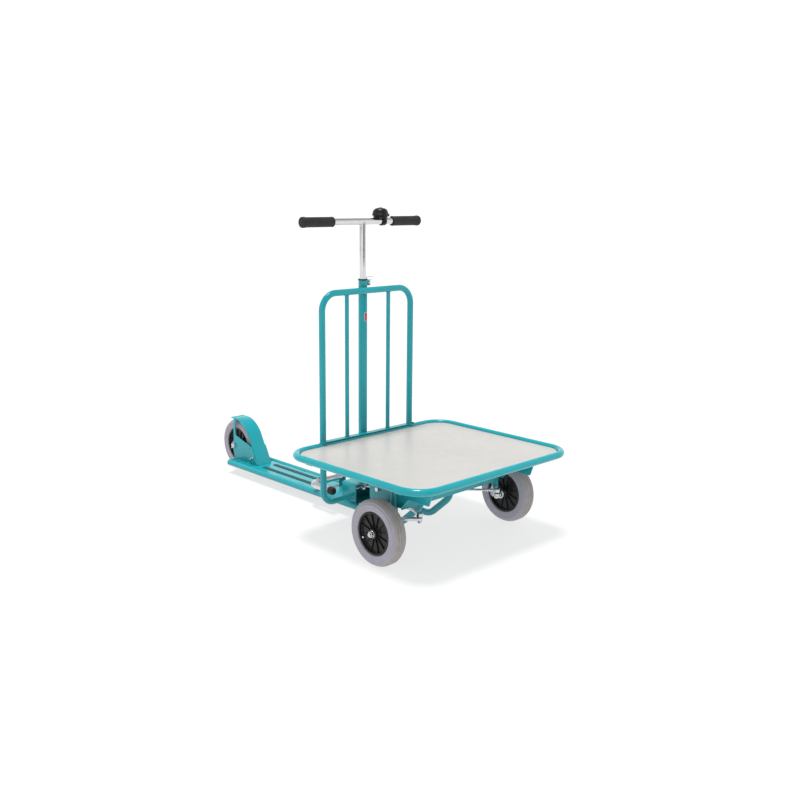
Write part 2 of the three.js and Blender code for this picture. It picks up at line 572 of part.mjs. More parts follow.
function stand() {
  const { y, z, x, tube: r, footTip, footLength, foot, bend, bracketX } = STAND;
  const wall = 4;
  const legEnd = footTip + wall + GAP;
  const bar = new Route([[x, legEnd, z], [x, y, z], [-x, y, z], [-x, legEnd, z]], bend);
  piece("stand_bar", tube(bar, r), "chrome");
  const cheekHalf = 16;
  const cheek = new THREE.Shape();
  cheek.moveTo(y - cheekHalf, DECK.plateTop + GAP);
  cheek.lineTo(y + cheekHalf, DECK.plateTop + GAP);
  cheek.absarc(y, z, cheekHalf, 0, Math.PI);
  for (const [side, s] of SIDES) {
    piece(`stand_foot_${side}`, turned([
      [0, footTip], [foot, footTip], [foot, footTip + footLength], [r + GAP, footTip + footLength],
      [r + GAP, footTip + wall], [0, footTip + wall],
    ], "y", 16), "rubber", [s * x, 0, z]);
    const bracket = sidePlate(cheek.clone(), s * bracketX - 3, s * bracketX + 3, [[y, z, r + 0.6]]);
    piece(`stand_bracket_${side}`, bracket, "enamel");
  }
}

platform();
backrest();
column();
chassis();
underframe();
rearFork();
wheels();
steering();
clamp();
handlebar();
stand();

export default trolley;
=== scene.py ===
"""A three-wheeled load scooter: its fine surfaces, finishes, light and camera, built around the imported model.

Shapes are worked out in millimetres, in the frame's own axes: +Z up, the scooter drives along -Y, and the
rider's left is +X. A shape is a pair of lists, its points and its faces.
"""

import json
import math

import bmesh
import bpy
from mathutils import Matrix, Vector
from mathutils.geometry import tessellate_polygon


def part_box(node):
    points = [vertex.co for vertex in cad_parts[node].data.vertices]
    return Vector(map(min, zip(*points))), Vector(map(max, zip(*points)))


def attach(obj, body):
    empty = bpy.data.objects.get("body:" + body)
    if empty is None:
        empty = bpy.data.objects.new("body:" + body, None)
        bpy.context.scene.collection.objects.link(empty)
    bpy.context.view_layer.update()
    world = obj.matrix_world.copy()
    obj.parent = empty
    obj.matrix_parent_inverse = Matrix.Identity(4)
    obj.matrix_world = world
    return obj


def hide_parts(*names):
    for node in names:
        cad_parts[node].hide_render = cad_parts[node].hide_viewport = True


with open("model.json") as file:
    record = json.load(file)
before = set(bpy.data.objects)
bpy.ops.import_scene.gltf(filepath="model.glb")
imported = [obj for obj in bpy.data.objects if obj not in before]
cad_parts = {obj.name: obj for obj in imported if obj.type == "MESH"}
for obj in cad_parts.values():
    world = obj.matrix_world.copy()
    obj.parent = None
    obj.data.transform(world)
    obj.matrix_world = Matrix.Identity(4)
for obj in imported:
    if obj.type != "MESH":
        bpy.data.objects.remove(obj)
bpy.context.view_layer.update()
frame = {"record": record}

MM = 0.001
TAU = 2 * math.pi
SIDES = (("left", 1), ("right", -1))
BODY_OF = {
    node: body for body, nodes in frame["record"]["behaviour"]["bodies"].items() for node in nodes
}

# ---- driving dimensions, in millimetres

PLATFORM_CORNER = 75  # the bends' radii
BACKREST_CORNER = 55
LOWER_LEG_BEND = 42
CHASSIS_BEND = 60
STAND_BEND = 28
SHEET_EDGE = 0.7  # how far the edges of cut steel are eased
WELD = 2.1  # radius of a weld bead
RIBS = 12  # ribs on each face of a wheel's rim
TUBE_SIDES = 36  # flats round a frame tube, which smooth shading hides
FLUTES = 30  # grooves round a handlebar grip

BRIDGE_WALL, BEAM_WALL, FORK_WALL, GUARD_WALL = 5, 4, 3.5, 3  # thicknesses
COLUMN_INNER, STEERING_INNER, COLLAR_INNER = 13.4, 11.2, 12.6  # radii
KINGPIN_BORE, AXLE = 7.4, 6
RAIL_FRONT = -134  # the flat rail that lies along the platform's rear tube
CHASSIS_BEND_Y, CHASSIS_RISE_Z = -356, 118  # where the chassis tubes turn up to the platform
STRINGER_FRONT_BOTTOM, STRINGER_SLANT = 198, 20
STRINGER_BOLT = (0, -424, 202)
FORK_FRONT, FORK_HEEL = 488, 611
FORK_SHOULDER, FORK_HOLE = (499, 112), (510, 105)  # (y, z), as for the bolts
FORK_BOLTS = ((504, 66), (490, 73))
GUARD_RADIUS, GUARD_TAIL_Z = 106.5, 205.4
STUD_REACH, STUD_ANGLE = 52, math.radians(-26.4)  # the small bright stud in each rim
ARM_IN, ARM_FORWARD, ARM_LOW, ARM_HIGH = 54, 52, 122, 130  # the knuckles' steering arms
CUP_Z = 140  # the socket at the far end of a drag link
PITMAN_REACH, PITMAN_LOW, PITMAN_HIGH = 40, 87.5, 91.5
LINK_NEAR_Z = {"left": 97, "right": 82}  # the joints over and under the pitman arm
CLAMP_BOLT_X, CLAMP_BOLT_Z, CAM_BEHIND = 21, 780, 15
BELL_CLIP = (77.5, 94.5)  # the band that holds the bell on the bar

# ---- reading the frame


class Span:
    """Where a CAD node lies, in millimetres."""

    def __init__(self, node):
        low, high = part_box(node)
        self.low, self.high = low / MM, high / MM
        self.mid = (self.low + self.high) / 2
        self.half = (self.high - self.low) / 2
        self.inboard, self.outboard = sorted((abs(self.low.x), abs(self.high.x)))


# ---- shapes


def joined(*shapes):
    """Several shapes as one."""
    points, faces = [], []
    for more_points, more_faces in shapes:
        base = len(points)
        points += more_points
        faces += [[base + i for i in face] for face in more_faces]
    return points, faces


def placed(shape, matrix):
    return [matrix @ point for point in shape[0]], shape[1]


def shifted(shape, by):
    return placed(shape, Matrix.Translation(by))


def spun(shape, angle, axis="X", about=(0, 0, 0)):
    """A shape turned about an axis through a point."""
    there = Matrix.Translation(about)
    return placed(shape, there @ Matrix.Rotation(angle, 4, axis) @ there.inverted())


def loft(rings, closed=False):
    """Rings of equally many points, joined by faces. Flat caps close the ends of an open one."""
    count = len(rings[0])
    points = [point for ring in rings for point in ring]
    faces = []
    for i in range(len(rings) if closed else len(rings) - 1):
        a, b = i * count, ((i + 1) % len(rings)) * count
        faces += [(a + j, a + (j + 1) % count, b + (j + 1) % count, b + j) for j in range(count)]
    if not closed:
        faces += [tuple(reversed(range(count))), tuple(range(len(points) - count, len(points)))]
    return points, faces


def bent(corners, radius, closed=False, step=5):
    """A route of straight runs and round bends through the given corners."""
    corners = [Vector(corner) for corner in corners]
    last = len(corners) - 1
    route = []
    for i, corner in enumerate(corners):
        if not closed and i in (0, last):
            route.append(corner)
            continue
        back = (corners[i - 1] - corner).normalized()
        on = (corners[(i + 1) % len(corners)] - corner).normalized()
        turn = math.pi - back.angle(on)
        start = corner + back * radius * math.tan(turn / 2)
        centre = corner + (back + on).normalized() * radius / math.cos(turn / 2)
        steps = max(2, round(math.degrees(turn) / step))
        for k in range(steps + 1):
            angle = turn * k / steps
            route.append(centre + (start - centre) * math.cos(angle) - back * radius * math.sin(angle))
    return route


def tube(route, radius, sides=28, closed=False):
    """A round bar along a route. The radius is one number, or one for each point of the route."""
    route = [Vector(point) for point in route]
    count = len(route)
    radii = radius if isinstance(radius, list) else [radius] * count
    side = None
    rings = []
    for i, point in enumerate(route):
        before = route[i - 1] if i or closed else point
        after = route[(i + 1) % count] if i < count - 1 or closed else point
        along = (after - before).normalized()
        if side is None:
            side = along.orthogonal()
        side = (side - along * side.dot(along)).normalized()
        up = along.cross(side)
        ring = []
        for j in range(sides):
            angle = TAU * j / sides
            ring.append(point + (side * math.cos(angle) + up * math.sin(angle)) * radii[i])
        rings.append(ring)
    return loft(rings, closed)


def eased(outline, radius, closed=True, steps=3):
    """An outline with its corners rounded. A corner may carry its own radius as a third number."""
    count = len(outline)
    out = []
    for i, (x, y, *own) in enumerate(outline):
        r = own[0] if own else radius
        here = Vector((x, y))
        if r == 0 or (not closed and i in (0, count - 1)):
            out.append((x, y))
            continue
        to_last = Vector(outline[i - 1][:2]) - here
        to_next = Vector(outline[(i + 1) % count][:2]) - here
        turn = math.pi - to_last.angle(to_next)
        if turn < 0.02:
            out.append((x, y))
            continue
        reach = min(r * math.tan(turn / 2), 0.48 * to_last.length, 0.48 * to_next.length)
        start = here + to_last.normalized() * reach
        end = here + to_next.normalized() * reach
        for k in range(steps + 1):
            t = k / steps
            out.append(tuple(start * (1 - t) ** 2 + here * 2 * t * (1 - t) + end * t**2))
    return out


def turned(profile, axis="z", at=(0, 0, 0), sides=64):
    """A turned solid, from a profile of (radius, height) pairs. One that starts on the axis also ends on it,
    and any other closes on itself."""
    at = Vector(at)
    points, faces, rows = [], [], []
    for radius, height in profile:
        row = []
        for j in range(1 if radius == 0 else sides):
            a, b = radius * math.cos(TAU * j / sides), radius * math.sin(TAU * j / sides)
            local = {"x": (height, a, b), "y": (a, height, b), "z": (a, b, height)}[axis]
            row.append(len(points))
            points.append(at + Vector(local))
        rows.append(row)
    pairs = list(zip(rows, rows[1:]))
    if profile[0][0] != 0:
        pairs.append((rows[-1], rows[0]))
    for low, high in pairs:
        for j in range(sides):
            a, b = low[j % len(low)], low[(j + 1) % len(low)]
            c, d = high[(j + 1) % len(high)], high[j % len(high)]
            face = [i for k, i in enumerate((a, b, c, d)) if i not in (a, b, c, d)[:k]]
            if len(face) > 2:
                faces.append(face)
    return points, faces


def ring(inner, outer, low, high, axis="z", at=(0, 0, 0), ease=0.5, sides=64):
    """A tube or washer with eased edges."""
    profile = [(inner, low), (outer, low), (outer, high), (inner, high)]
    return turned(eased(profile, ease), axis, at, sides)


def spindle(profile, ease, axis="z", at=(0, 0, 0), sides=64, steps=3):
    """A turned solid whose profile starts and ends on the axis and has eased corners."""
    return turned(eased(profile, ease, closed=False, steps=steps), axis, at, sides)


def disc(radius, low, high, axis="z", at=(0, 0, 0), ease=0.6, sides=48):
    """A round solid with eased edges."""
    profile = [(0, low), (radius, low), (radius, high), (0, high)]
    return spindle(profile, ease, axis, at, sides)


def circle(x, y, radius, sides=40):
    angles = [TAU * j / sides for j in range(sides)]
    return [(x + radius * math.cos(angle), y + radius * math.sin(angle)) for angle in angles]


def inset(outline, by):
    """An outline moved to its left, which is inward where it runs anticlockwise."""
    out = []
    for i, here in enumerate(outline):
        a = Vector(here) - Vector(outline[i - 1])
        b = Vector(outline[(i + 1) % len(outline)]) - Vector(here)
        left_a = Vector((-a.y, a.x)).normalized()
        left_b = Vector((-b.y, b.x)).normalized()
        out.append(Vector(here) + (left_a + left_b) * by / max(0.25, 1 + left_a.dot(left_b)))
    return out


def area_of(outline):
    return sum(a[0] * b[1] - b[0] * a[1] for a, b in zip(outline, outline[1:] + outline[:1])) / 2


def plate(outline, axis, low, high, holes=(), ease=SHEET_EDGE):
    """A flat plate with eased edges and round or other holes, across the given axis. The outline's two
    numbers are the other two axes in their order."""
    low, high = min(low, high), max(low, high)
    loops = [outline if area_of(outline) > 0 else outline[::-1]]
    loops += [hole if area_of(hole) < 0 else hole[::-1] for hole in holes]
    levels = [(low, ease), (low + ease, 0), (high - ease, 0), (high, ease)]

    def stand(point, height):
        a, b = point
        return Vector({"x": (height, a, b), "y": (a, height, b), "z": (a, b, height)}[axis])

    points, faces, ends = [], [], []
    for height, by in levels:
        starts = []
        cap = []
        for loop in loops:
            starts.append(len(points))
            level = [stand(point, height) for point in inset(loop, by)]
            points += level
            cap.append(level)
        ends.append((starts, cap))
    for (starts, _), (next_starts, _) in zip(ends, ends[1:]):
        for loop, a, b in zip(loops, starts, next_starts):
            n = len(loop)
            faces += [(a + j, a + (j + 1) % n, b + (j + 1) % n, b + j) for j in range(n)]
    for starts, cap in (ends[0], ends[-1]):
        faces += [[starts[0] + i for i in triangle] for triangle in tessellate_polygon(cap)]
    return points, faces


def block(low, high, corner=1.2, ease=SHEET_EDGE, axis="z"):
    """A rectangular solid between two corners, with eased edges."""
    order = {"x": (1, 2, 0), "y": (0, 2, 1), "z": (0, 1, 2)}[axis]
    (a, b, c), (d, e, f) = ([corner_point[i] for i in order] for corner_point in (low, high))
    outline = eased([(a, b), (d, b), (d, e), (a, e)], corner)
    return plate(outline, axis, c, f, ease=ease)


def hexagon(across, low, high, axis="z", at=(0, 0, 0), bore=0.0):
    """A nut or bolt head: a hexagon whose corners are turned down at both ends."""
    flat = across / 2
    turned_down = 0.1 * across
    steps = [0, 0.3, 0.6, 1]
    heights = [low + turned_down * t for t in steps] + [high - turned_down * t for t in reversed(steps)]
    rings = []
    for height in heights:
        limit = 0.94 * flat + 1.9 * min(height - low, high - height)
        row = []
        for j in range(36):
            angle = TAU * j / 36
            edge = flat / math.cos((angle % (TAU / 6)) - TAU / 12)
            row.append((min(edge, limit), angle, height))
        rings.append(row)
    if bore:
        rings += [[(bore, angle, height) for _, angle, _ in rings[0]] for height in (high, low)]
    turn = {"x": (2, 0, 1), "y": (0, 2, 1), "z": (0, 1, 2)}[axis]

    def stand(radius, angle, height):
        local = (radius * math.cos(angle), radius * math.sin(angle), height)
        return Vector([local[i] for i in turn]) + Vector(at)

    return loft([[stand(*entry) for entry in row] for row in rings], closed=bool(bore))


def bolt(across, face, head_end, tip, shank, axis, at, washer=0.0):
    """A hexagon bolt: its head from face to head_end, a washer under it and its shank to tip."""
    sign = 1 if head_end > face else -1
    parts = [hexagon(across, *sorted((face + sign * washer, head_end)), axis=axis, at=at)]
    parts.append(disc(shank, *sorted((face, tip)), axis=axis, at=at, sides=24))
    if washer:
        parts.append(disc(across * 0.62, *sorted((face, face + sign * washer)), axis=axis, at=at, ease=0.3))
    return joined(*parts)


def bead(route, radius=WELD, closed=True):
    """A weld bead with its ripples along a route."""
    route = [Vector(point) for point in route]
    run = route + route[:1] if closed else route
    pitch = 0.75
    dense = []
    for a, b in zip(run, run[1:]):
        steps = max(1, round((b - a).length / pitch))
        dense += [a.lerp(b, k / steps) for k in range(steps)]
    if not closed:
        dense.append(run[-1])
    radii = [radius * (1 + 0.11 * math.sin(TAU * i / 3.6)) for i in range(len(dense))]
    if not closed:
        radii[0] = radii[-1] = 0.35 * radius
    return tube(dense, radii, sides=8, closed=closed)


def weld(run, radius=2.0):
    """A straight weld bead between two points."""
    return bead(run, radius, closed=False)


def saddle(x, y, radius, over_y, over_z, over_radius, up=1, points=48):
    """The seam where an upright tube lands on a tube that runs along X."""
    seam = []
    for j in range(points):
        angle = TAU * j / points
        px, py = x + radius * math.cos(angle), y + radius * math.sin(angle)
        fall = math.sqrt(max(0.0, over_radius**2 - (py - over_y) ** 2))
        seam.append((px, py, over_z + up * fall))
    return seam


def loop_round(centre, radius, axis="z", points=48):
    """A circle of points across an axis."""
    out = []
    for j in range(points):
        a, b = radius * math.cos(TAU * j / points), radius * math.sin(TAU * j / points)
        local = {"x": (0, a, b), "y": (a, 0, b), "z": (a, b, 0)}[axis]
        out.append(Vector(centre) + Vector(local))
    return out


# ---- finishes


def start_finish(name):
    material = bpy.data.materials.new(name)
    material.use_nodes = True
    tree = material.node_tree
    surface = tree.nodes["Principled BSDF"]
    return material, tree, surface


def add(tree, kind, inputs=None, **settings):
    """A node with its settings, and with inputs given as values or as other nodes' outputs."""
    node = tree.nodes.new(kind)
    for key, value in settings.items():
        setattr(node, key, value)
    for key, value in (inputs or {}).items():
        if isinstance(value, bpy.types.NodeSocket):
            tree.links.new(value, node.inputs[key])
        else:
            node.inputs[key].default_value = value
    return node


def place_of(tree):
    """Positions in the object's own space, in metres."""
    return add(tree, "ShaderNodeTexCoord").outputs["Object"]


def noise(tree, scale, detail=2.0, where=None, roughness=0.5):
    source = where or place_of(tree)
    inputs = {"Vector": source, "Scale": scale, "Detail": detail, "Roughness": roughness}
    return add(tree, "ShaderNodeTexNoise", inputs).outputs["Fac"]


def ranged(tree, value, low, high, from_low=0.3, from_high=0.7):
    inputs = {"Value": value, "From Min": from_low, "From Max": from_high, "To Min": low, "To Max": high}
    return add(tree, "ShaderNodeMapRange", inputs).outputs["Result"]


def blended(tree, share, first, second):
    """A colour between two, by a share that may be a socket or a number."""
    node = add(tree, "ShaderNodeMix", data_type="RGBA")
    for index, value in ((0, share), (6, first), (7, second)):
        if isinstance(value, bpy.types.NodeSocket):
            tree.links.new(value, node.inputs[index])
        else:
            node.inputs[index].default_value = value if index == 0 else (*value, 1)
    return node.outputs[2]


def bumped(tree, surface, *layers):
    """Adds relief: each layer is (height, strength, depth in metres)."""
    normal = None
    for height, strength, depth in layers:
        node = add(tree, "ShaderNodeBump", {"Height": height, "Strength": strength, "Distance": depth})
        if normal:
            tree.links.new(normal, node.inputs["Normal"])
        normal = node.outputs["Normal"]
    tree.links.new(normal, surface.inputs["Normal"])


def mottled(tree, scale, detail, first, second):
    """A colour that drifts between two."""
    return blended(tree, ranged(tree, noise(tree, scale, detail), 0, 1), first, second)


def worn_edges(tree, colour, share, bare):
    """A colour that gives way to another where the surface is sharp and convex."""
    sharpness = add(tree, "ShaderNodeNewGeometry").outputs["Pointiness"]
    sharp = ranged(tree, sharpness, 0.0, 1.0, 0.52, 0.62)
    edge = add(tree, "ShaderNodeMath", {0: sharp, 1: share}, operation="MULTIPLY").outputs[0]
    return blended(tree, edge, colour, bare)


def feed(tree, surface, **inputs):
    """Sets or links the surface's inputs, whose names are written with _ for a space."""
    for key, value in inputs.items():
        socket = surface.inputs[key.replace("_", " ")]
        if isinstance(value, bpy.types.NodeSocket):
            tree.links.new(value, socket)
        else:
            socket.default_value = value


def enamel_finish():
    """Glossy powder coat: a fine orange peel, slight depth changes in the colour, thinner on edges, and painted
    shade: a deep teal in recesses and under other parts.
    """
    material, tree, surface = start_finish("teal_enamel")
    base, deep, thin = (0.001, 0.385, 0.440), (0.001, 0.335, 0.388), (0.040, 0.480, 0.520)
    colour = mottled(tree, 9, 4, base, deep)
    colour = blended(tree, ranged(tree, noise(tree, 900, 1), 0, 0.10), colour, thin)
    colour = worn_edges(tree, colour, 0.15, thin)
    # painted shade: an ambient occlusion node turns the teal towards a deep shade colour in recesses, creases
    # and under other parts
    ao_for_painted_shade = add(tree, "ShaderNodeAmbientOcclusion", {"Distance": 0.22}, samples=6).outputs["AO"]
    colour = blended(tree, ranged(tree, ao_for_painted_shade, 0.8, 0, 0.0, 0.80), colour, (0.0, 0.085, 0.105))
    shine = ranged(tree, noise(tree, 40, 3), 0.20, 0.28)
    feed(tree, surface, Base_Color=colour, Roughness=shine, Specular_IOR_Level=0.4,
         Coat_Weight=0.15, Coat_Roughness=0.08)
    bumped(tree, surface, (noise(tree, 420, 2), 0.12, 0.0004), (noise(tree, 60, 2), 0.05, 0.0010))
    return material


def laminate_finish():
    """Light grey laminate on plywood: a pebbled face with faint clouds, and plies along the edge."""
    material, tree, surface = start_finish("board_laminate")
    face = mottled(tree, 5, 5, (0.560, 0.545, 0.522), (0.515, 0.502, 0.482))
    face = blended(tree, ranged(tree, noise(tree, 1500, 2), 0, 0.25, 0.45, 0.75), face, (0.38, 0.37, 0.355))
    across = add(tree, "ShaderNodeMapping", {"Vector": place_of(tree), "Scale": (1, 1, 45)}).outputs[0]
    plies = noise(tree, 14, 2, across)
    wood = blended(tree, ranged(tree, plies, 0, 1, 0.4, 0.6), (0.46, 0.31, 0.18), (0.62, 0.47, 0.30))
    normal = add(tree, "ShaderNodeNewGeometry").outputs["Normal"]
    up = add(tree, "ShaderNodeSeparateXYZ", {"Vector": normal}).outputs["Z"]
    flat = add(tree, "ShaderNodeMath", {0: up}, operation="ABSOLUTE").outputs[0]
    on_face = ranged(tree, flat, 0, 1, 0.55, 0.8)
    colour = blended(tree, on_face, wood, face)
    shine = ranged(tree, noise(tree, 30, 3), 0.30, 0.42)
    feed(tree, surface, Base_Color=colour, Roughness=shine)
    bumped(tree, surface, (noise(tree, 1100, 3), 0.10, 0.0003), (noise(tree, 12, 2), 0.04, 0.002))
    return material


def metal_finish(name, tint, dull, shine, grain, relief):
    """Bare or plated metal: fine scratches, clouded shine and slightly darker patches at random."""
    material, tree, surface = start_finish(name)
    colour = mottled(tree, 55, 4, tint, dull)
    rough = ranged(tree, noise(tree, 120, 4), shine, shine + 0.09)
    feed(tree, surface, Base_Color=colour, Metallic=1.0, Roughness=rough)
    stretched = add(tree, "ShaderNodeMapping", {"Vector": place_of(tree), "Scale": grain}).outputs[0]
    bumped(tree, surface, (noise(tree, 700, 2, stretched), relief, 0.0002))
    return material


def tyre_finish():
    """Grey solid rubber: a cool smooth sidewall, and a warmer tread with dust in it."""
    material, tree, surface = start_finish("grey_tyre")
    radius = add(tree, "ShaderNodeAttribute", attribute_name="wheel_radius").outputs["Fac"]
    ragged = add(tree, "ShaderNodeMath", {0: noise(tree, 60, 3), 1: 2.2}, operation="MULTIPLY_ADD")
    tree.links.new(radius, ragged.inputs[2])
    tread = ranged(tree, ragged.outputs[0], 0, 1, 93.5, 97.5)
    wall = mottled(tree, 16, 4, (0.385, 0.368, 0.428), (0.335, 0.320, 0.372))
    crown = mottled(tree, 45, 5, (0.395, 0.364, 0.352), (0.320, 0.295, 0.284))
    colour = blended(tree, tread, wall, crown)
    colour = worn_edges(tree, colour, 0.3, (0.50, 0.48, 0.50))
    shine = ranged(tree, noise(tree, 70, 3), 0.52, 0.70)
    feed(tree, surface, Base_Color=colour, Roughness=shine)
    bumped(tree, surface, (noise(tree, 1300, 3), 0.25, 0.0003), (noise(tree, 90, 3), 0.08, 0.0008))
    return material


def moulded_finish(name, dark, light, shine, gloss, grain, relief, depth):
    """Black moulded plastic or rubber: fine grain, dust on its edges and a clouded shine."""
    material, tree, surface = start_finish(name)
    colour = mottled(tree, 30, 5, dark, light)
    colour = worn_edges(tree, colour, 0.3, tuple(2.2 * c for c in light))
    rough = ranged(tree, noise(tree, 80, 3), shine, shine + 0.12)
    feed(tree, surface, Base_Color=colour, Roughness=rough, Specular_IOR_Level=gloss)
    bumped(tree, surface, (noise(tree, grain, 3), relief, depth))
    return material


def strip_finish():
    """Anti-slip tape: coarse grit that catches the light grain by grain."""
    material, tree, surface = start_finish("grip_strip")
    grit = noise(tree, 1400, 2, roughness=0.7)
    colour = blended(tree, ranged(tree, grit, 0, 1, 0.45, 0.7), (0.020, 0.062, 0.070), (0.070, 0.160, 0.170))
    feed(tree, surface, Base_Color=colour, Roughness=0.85)
    bumped(tree, surface, (grit, 0.7, 0.0006))
    return material


def label_finish():
    """A small printed sticker: a plain red field with a thin pale border."""
    material, tree, surface = start_finish("plain_label")
    border = add(tree, "ShaderNodeAttribute", attribute_name="border").outputs["Fac"]
    red = mottled(tree, 300, 3, (0.62, 0.030, 0.030), (0.54, 0.022, 0.024))
    pale = mottled(tree, 300, 3, (0.82, 0.80, 0.78), (0.76, 0.74, 0.72))
    colour = blended(tree, ranged(tree, border, 0, 1, 0.45, 0.55), red, pale)
    feed(tree, surface, Base_Color=colour, Roughness=0.3)
    bumped(tree, surface, (noise(tree, 500, 2), 0.04, 0.0002))
    return material


FINISHES = {
    "teal_enamel": enamel_finish(),
    "board_laminate": laminate_finish(),
    "chrome": metal_finish("chrome", (0.70, 0.71, 0.72), (0.63, 0.64, 0.66), 0.07, (1, 1, 0.15), 0.02),
    "zinc_plate": metal_finish("zinc_plate", (0.66, 0.68, 0.71), (0.52, 0.54, 0.57), 0.20, (1, 1, 1), 0.06),
    "grey_tyre": tyre_finish(),
    "black_plastic": moulded_finish(
        "black_plastic", (0.004, 0.004, 0.0045), (0.009, 0.009, 0.010), 0.28, 0.32, 900, 0.15, 0.0003),
    "black_rubber": moulded_finish(
        "black_rubber", (0.008, 0.008, 0.009), (0.017, 0.016, 0.016), 0.55, 0.45, 700, 0.30, 0.0004),
    "grip_strip": strip_finish(),
}
LABEL = label_finish()


# ---- pieces


def piece(name, shape, slot="teal_enamel", body="chassis", stands_for=(), material=None, sharp=38):
    """Makes a shape into an object that rides on a body and stands for CAD nodes."""
    mesh = bpy.data.meshes.new(name)
    mesh.from_pydata([point * MM for point in shape[0]], [], shape[1])
    builder = bmesh.new()
    builder.from_mesh(mesh)
    bmesh.ops.recalc_face_normals(builder, faces=builder.faces)
    builder.to_mesh(mesh)
    builder.free()
    mesh.shade_smooth()
    mesh.set_sharp_from_angle(angle=math.radians(sharp))
    mesh.materials.append(material or FINISHES[slot])
    thing = bpy.data.objects.new(name, mesh)
    bpy.context.scene.collection.objects.link(thing)
    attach(thing, body)
    if stands_for:
        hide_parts(*stands_for)
    return thing


def stand_in(node, shape, slot="teal_enamel", **more):
    """A fine piece in the place of one CAD node, riding on that node's body."""
    return piece(f"fine_{node}", shape, slot, BODY_OF[node], (node,), **more)


def store(thing, name, value_at):
    """Keeps a number on each point of a piece, for its finish to read."""
    values = thing.data.attributes.new(name, "FLOAT", "POINT").data
    for entry, point in zip(values, thing.data.vertices):
        entry.value = value_at(point.co / MM)


# ---- platform

RIM = Span("platform_rim")
RIM_TUBE = RIM.half.z
RIM_X = RIM.high.x - RIM_TUBE
RIM_REAR, RIM_FRONT = RIM.high.y - RIM_TUBE, RIM.low.y + RIM_TUBE
RIM_Z = RIM.mid.z
BAR_UNDERSIDE = Span("platform_crossbar_middle").low.z


def platform():
    corners = [(RIM_X, RIM_REAR), (-RIM_X, RIM_REAR), (-RIM_X, RIM_FRONT), (RIM_X, RIM_FRONT)]
    route = bent([(x, y, RIM_Z) for x, y in corners], PLATFORM_CORNER, closed=True)
    stand_in("platform_rim", tube(route, RIM_TUBE, TUBE_SIDES, closed=True))

    board = Span("platform_board")
    corner = PLATFORM_CORNER - (RIM_X - board.high.x)
    outline = [(board.high.x, board.high.y), (board.low.x, board.high.y), (board.low.x, board.low.y),
               (board.high.x, board.low.y)]
    route = [point.xy for point in bent([(x, y, 0) for x, y in outline], corner, closed=True, step=4)]
    stand_in("platform_board", plate(route, "z", board.low.z, board.high.z, ease=0.9), "board_laminate")

    screws, welds = [], []
    for place in ("front", "middle", "rear"):
        bar = Span(f"platform_crossbar_{place}")
        stand_in(f"platform_crossbar_{place}", block(bar.low, bar.high, corner=2))
        for x in (-285, -150, 150, 285):
            head = [(0, 0), (4.6, 0), (4.4, -1.2), (3, -2.5), (0, -2.9)]
            screws.append(spindle(head, 0.5, at=(x, bar.mid.y, bar.low.z), sides=32))
        for _, s in SIDES:
            x = s * (bar.high.x - 3)
            welds.append(weld([(x, bar.low.y + 2, bar.low.z), (x, bar.high.y - 2, bar.low.z)], 2.4))
    piece("board_screws", joined(*screws), "zinc_plate")
    piece("crossbar_welds", joined(*welds), sharp=60)

    plug = Span("rim_plug")
    dome = [(0, plug.low.z - 1), (plug.half.x, plug.low.z - 1), (plug.half.x, plug.low.z + 1.6),
            (plug.half.x * 0.62, plug.high.z), (0, plug.high.z)]
    shape = spindle(dome, 0.9, at=(plug.mid.x, plug.mid.y, 0), sides=40)
    stand_in("rim_plug", shape, "black_plastic")


# ---- backrest, lower legs and column

HOOP = Span("backrest_hoop")
HOOP_TUBE = HOOP.half.y
HOOP_X = HOOP.high.x - HOOP_TUBE
HOOP_Y = HOOP.mid.y
HOOP_TOP = HOOP.high.z - HOOP_TUBE
COLUMN = Span("steering_column")
COLUMN_RADIUS = COLUMN.high.x
COLUMN_Y = Span("steering_tube").mid.y
COLUMN_TOP = Span("column_bush_top").high.z


def backrest():
    foot = RIM_Z + RIM_TUBE - 3
    corners = [(-HOOP_X, foot), (-HOOP_X, HOOP_TOP), (HOOP_X, HOOP_TOP), (HOOP_X, foot)]
    hoop = tube(bent([(x, HOOP_Y, z) for x, z in corners], BACKREST_CORNER), HOOP_TUBE, TUBE_SIDES)
    rail_top = Span("backrest_bar_left").low.z - 0.2
    rail_end = HOOP_X - HOOP_TUBE + 2
    low, high = (-rail_end, RAIL_FRONT, RIM_Z + RIM_TUBE - 0.6), (rail_end, HOOP.high.y, rail_top)
    stand_in("backrest_hoop", joined(hoop, block(low, high, corner=0.6, ease=0.5)))
    welds = []
    for side, s in SIDES:
        bar = Span(f"backrest_bar_{side}")
        x, y, r = bar.mid.x, bar.mid.y, bar.half.x
        stand_in(f"backrest_bar_{side}", tube([(x, y, rail_top - 0.5), (x, y, HOOP_TOP - 4)], r, 28))
        welds.append(bead(loop_round((x, y, rail_top), r), 1.8))
        welds.append(bead(saddle(x, y, r, HOOP_Y, HOOP_TOP, HOOP_TUBE, up=-1), 1.8))
        rim_seam = (s * HOOP_X, HOOP_Y, HOOP_TUBE - 0.3, RIM_REAR, RIM_Z, RIM_TUBE + 0.6)
        welds.append(bead(saddle(*rim_seam)))

        leg = Span(f"lower_leg_{side}")
        inner = leg.inboard
        level = leg.low.z + HOOP_TUBE
        corners = [(s * HOOP_X, RIM_Z - RIM_TUBE + 3), (s * HOOP_X, level), (s * inner, level)]
        route = bent([(x, HOOP_Y, z) for x, z in corners], LOWER_LEG_BEND)
        stand_in(f"lower_leg_{side}", tube(route, HOOP_TUBE, TUBE_SIDES))
        welds.append(bead(saddle(*rim_seam, up=-1)))
        welds.append(bead(loop_round((s * (inner + 0.5), HOOP_Y, level), HOOP_TUBE, "x")))
    piece("backrest_welds", joined(*welds), sharp=60)


